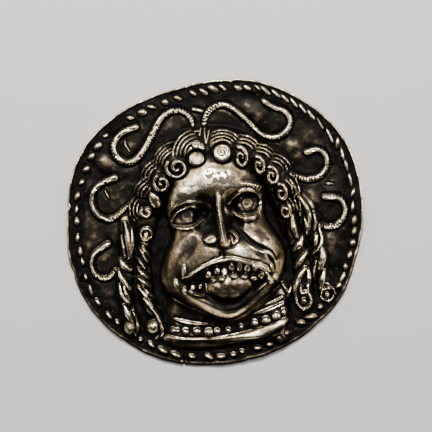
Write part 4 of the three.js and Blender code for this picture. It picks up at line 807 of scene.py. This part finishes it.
# Crumbs of the brown crust, which is dull and no metal
crumbs = add("ShaderNodeTexNoise", {"Scale": 1 / 0.0016, "Detail": 3.0, "Roughness": 0.55},
             {"Vector": where})
near = add("ShaderNodeMath", {"operation": "MULTIPLY_ADD", 1: 0.15},
           {0: stain_in, 2: crumbs.outputs["Fac"]})
crust = add("ShaderNodeMapRange", {"From Min": 0.66, "From Max": 0.69, "To Max": 0.9},
            {"Value": near.outputs[0]}).outputs["Result"]
stained = add("ShaderNodeMix", {"data_type": "RGBA", 7: linear("2c1a0b")},
              {0: crust, 6: tone.outputs["Color"]})
bare = add("ShaderNodeMath", {"operation": "MULTIPLY_ADD", 1: -0.9}, {0: crust, 2: metal.outputs["Result"]})
dull = add("ShaderNodeMath", {"operation": "MULTIPLY_ADD", 1: 0.45}, {0: crust, 2: sheen.outputs["Result"]})
skin = add("ShaderNodeBsdfPrincipled", links={
    "Base Color": stained.outputs[2], "Metallic": bare.outputs[0], "Roughness": dull.outputs[0],
    "Normal": bump.outputs["Normal"]})
add("ShaderNodeOutputMaterial", links={"Surface": skin.outputs["BSDF"]})
disc.data.materials.clear()
disc.data.materials.append(silver)
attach(disc, "root")
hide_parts("gorgon_disc")

# The studio: a pale floor that the disc lies on, face up. The strongest soft box stands beyond the
# crown, as the light falls in the photo, with a weak broad one overhead and one at each side.
bpy.ops.mesh.primitive_circle_add(vertices=96, radius=3.0, fill_type="NGON")
floor = bpy.context.object
floor.name = "floor"
floor.location.z = -0.00005
# Plain pale card, matt, so that it only carries the soft shadow
paper = bpy.data.materials.new("pale_paper")
paper.use_nodes = True
paper.node_tree.nodes["Principled BSDF"].inputs["Base Color"].default_value = linear("cfccc6")
paper.node_tree.nodes["Principled BSDF"].inputs["Roughness"].default_value = 0.8
floor.data.materials.append(paper)


def soft_box(name, place, size, power, aim=(0, 0, 0.008)):
    """A soft box that is turned to face a point just over the floor."""
    bpy.ops.object.light_add(type="AREA", location=place)
    lamp = bpy.context.object
    lamp.name = name
    lamp.data.shape = "RECTANGLE"
    lamp.data.size, lamp.data.size_y = size
    lamp.data.energy = power
    away = np.array(place) - np.array(aim)
    across_turn = math.atan2(away[0], -away[1])
    tilt = math.acos(away[2] / np.linalg.norm(away))
    lamp.rotation_euler = (tilt, 0, across_turn)


soft_box("head_box", (0.0, 0.62, 0.60), (0.26, 0.15), 13)
soft_box("over_box", (0.0, 0.32, 1.25), (0.9, 0.8), 5.5, (0, 0.1, 0))
soft_box("left_box", (-0.58, 0.42, 0.42), (0.22, 0.4), 3.5)
soft_box("right_box", (0.75, 0.25, 0.28), (0.2, 0.5), 4)
room = bpy.data.worlds.new("room")
room.use_nodes = True
room.node_tree.nodes["Background"].inputs["Color"].default_value = linear("bfc0c4")
room.node_tree.nodes["Background"].inputs["Strength"].default_value = 0.05
bpy.context.scene.world = room

# The camera looks straight down on the face, as the photo does, from a little under a metre
# and with a long lens. It stands 2 mm off the middle, so that the disc sits as in the photo.
camera_data = bpy.data.cameras.new("camera")
camera = bpy.data.objects.new("camera", camera_data)
bpy.context.scene.collection.objects.link(camera)
camera_data.sensor_width = 36
camera_data.lens = 200
camera.location = (0.00034, 0.0020, 0.80556)
bpy.context.scene.camera = camera
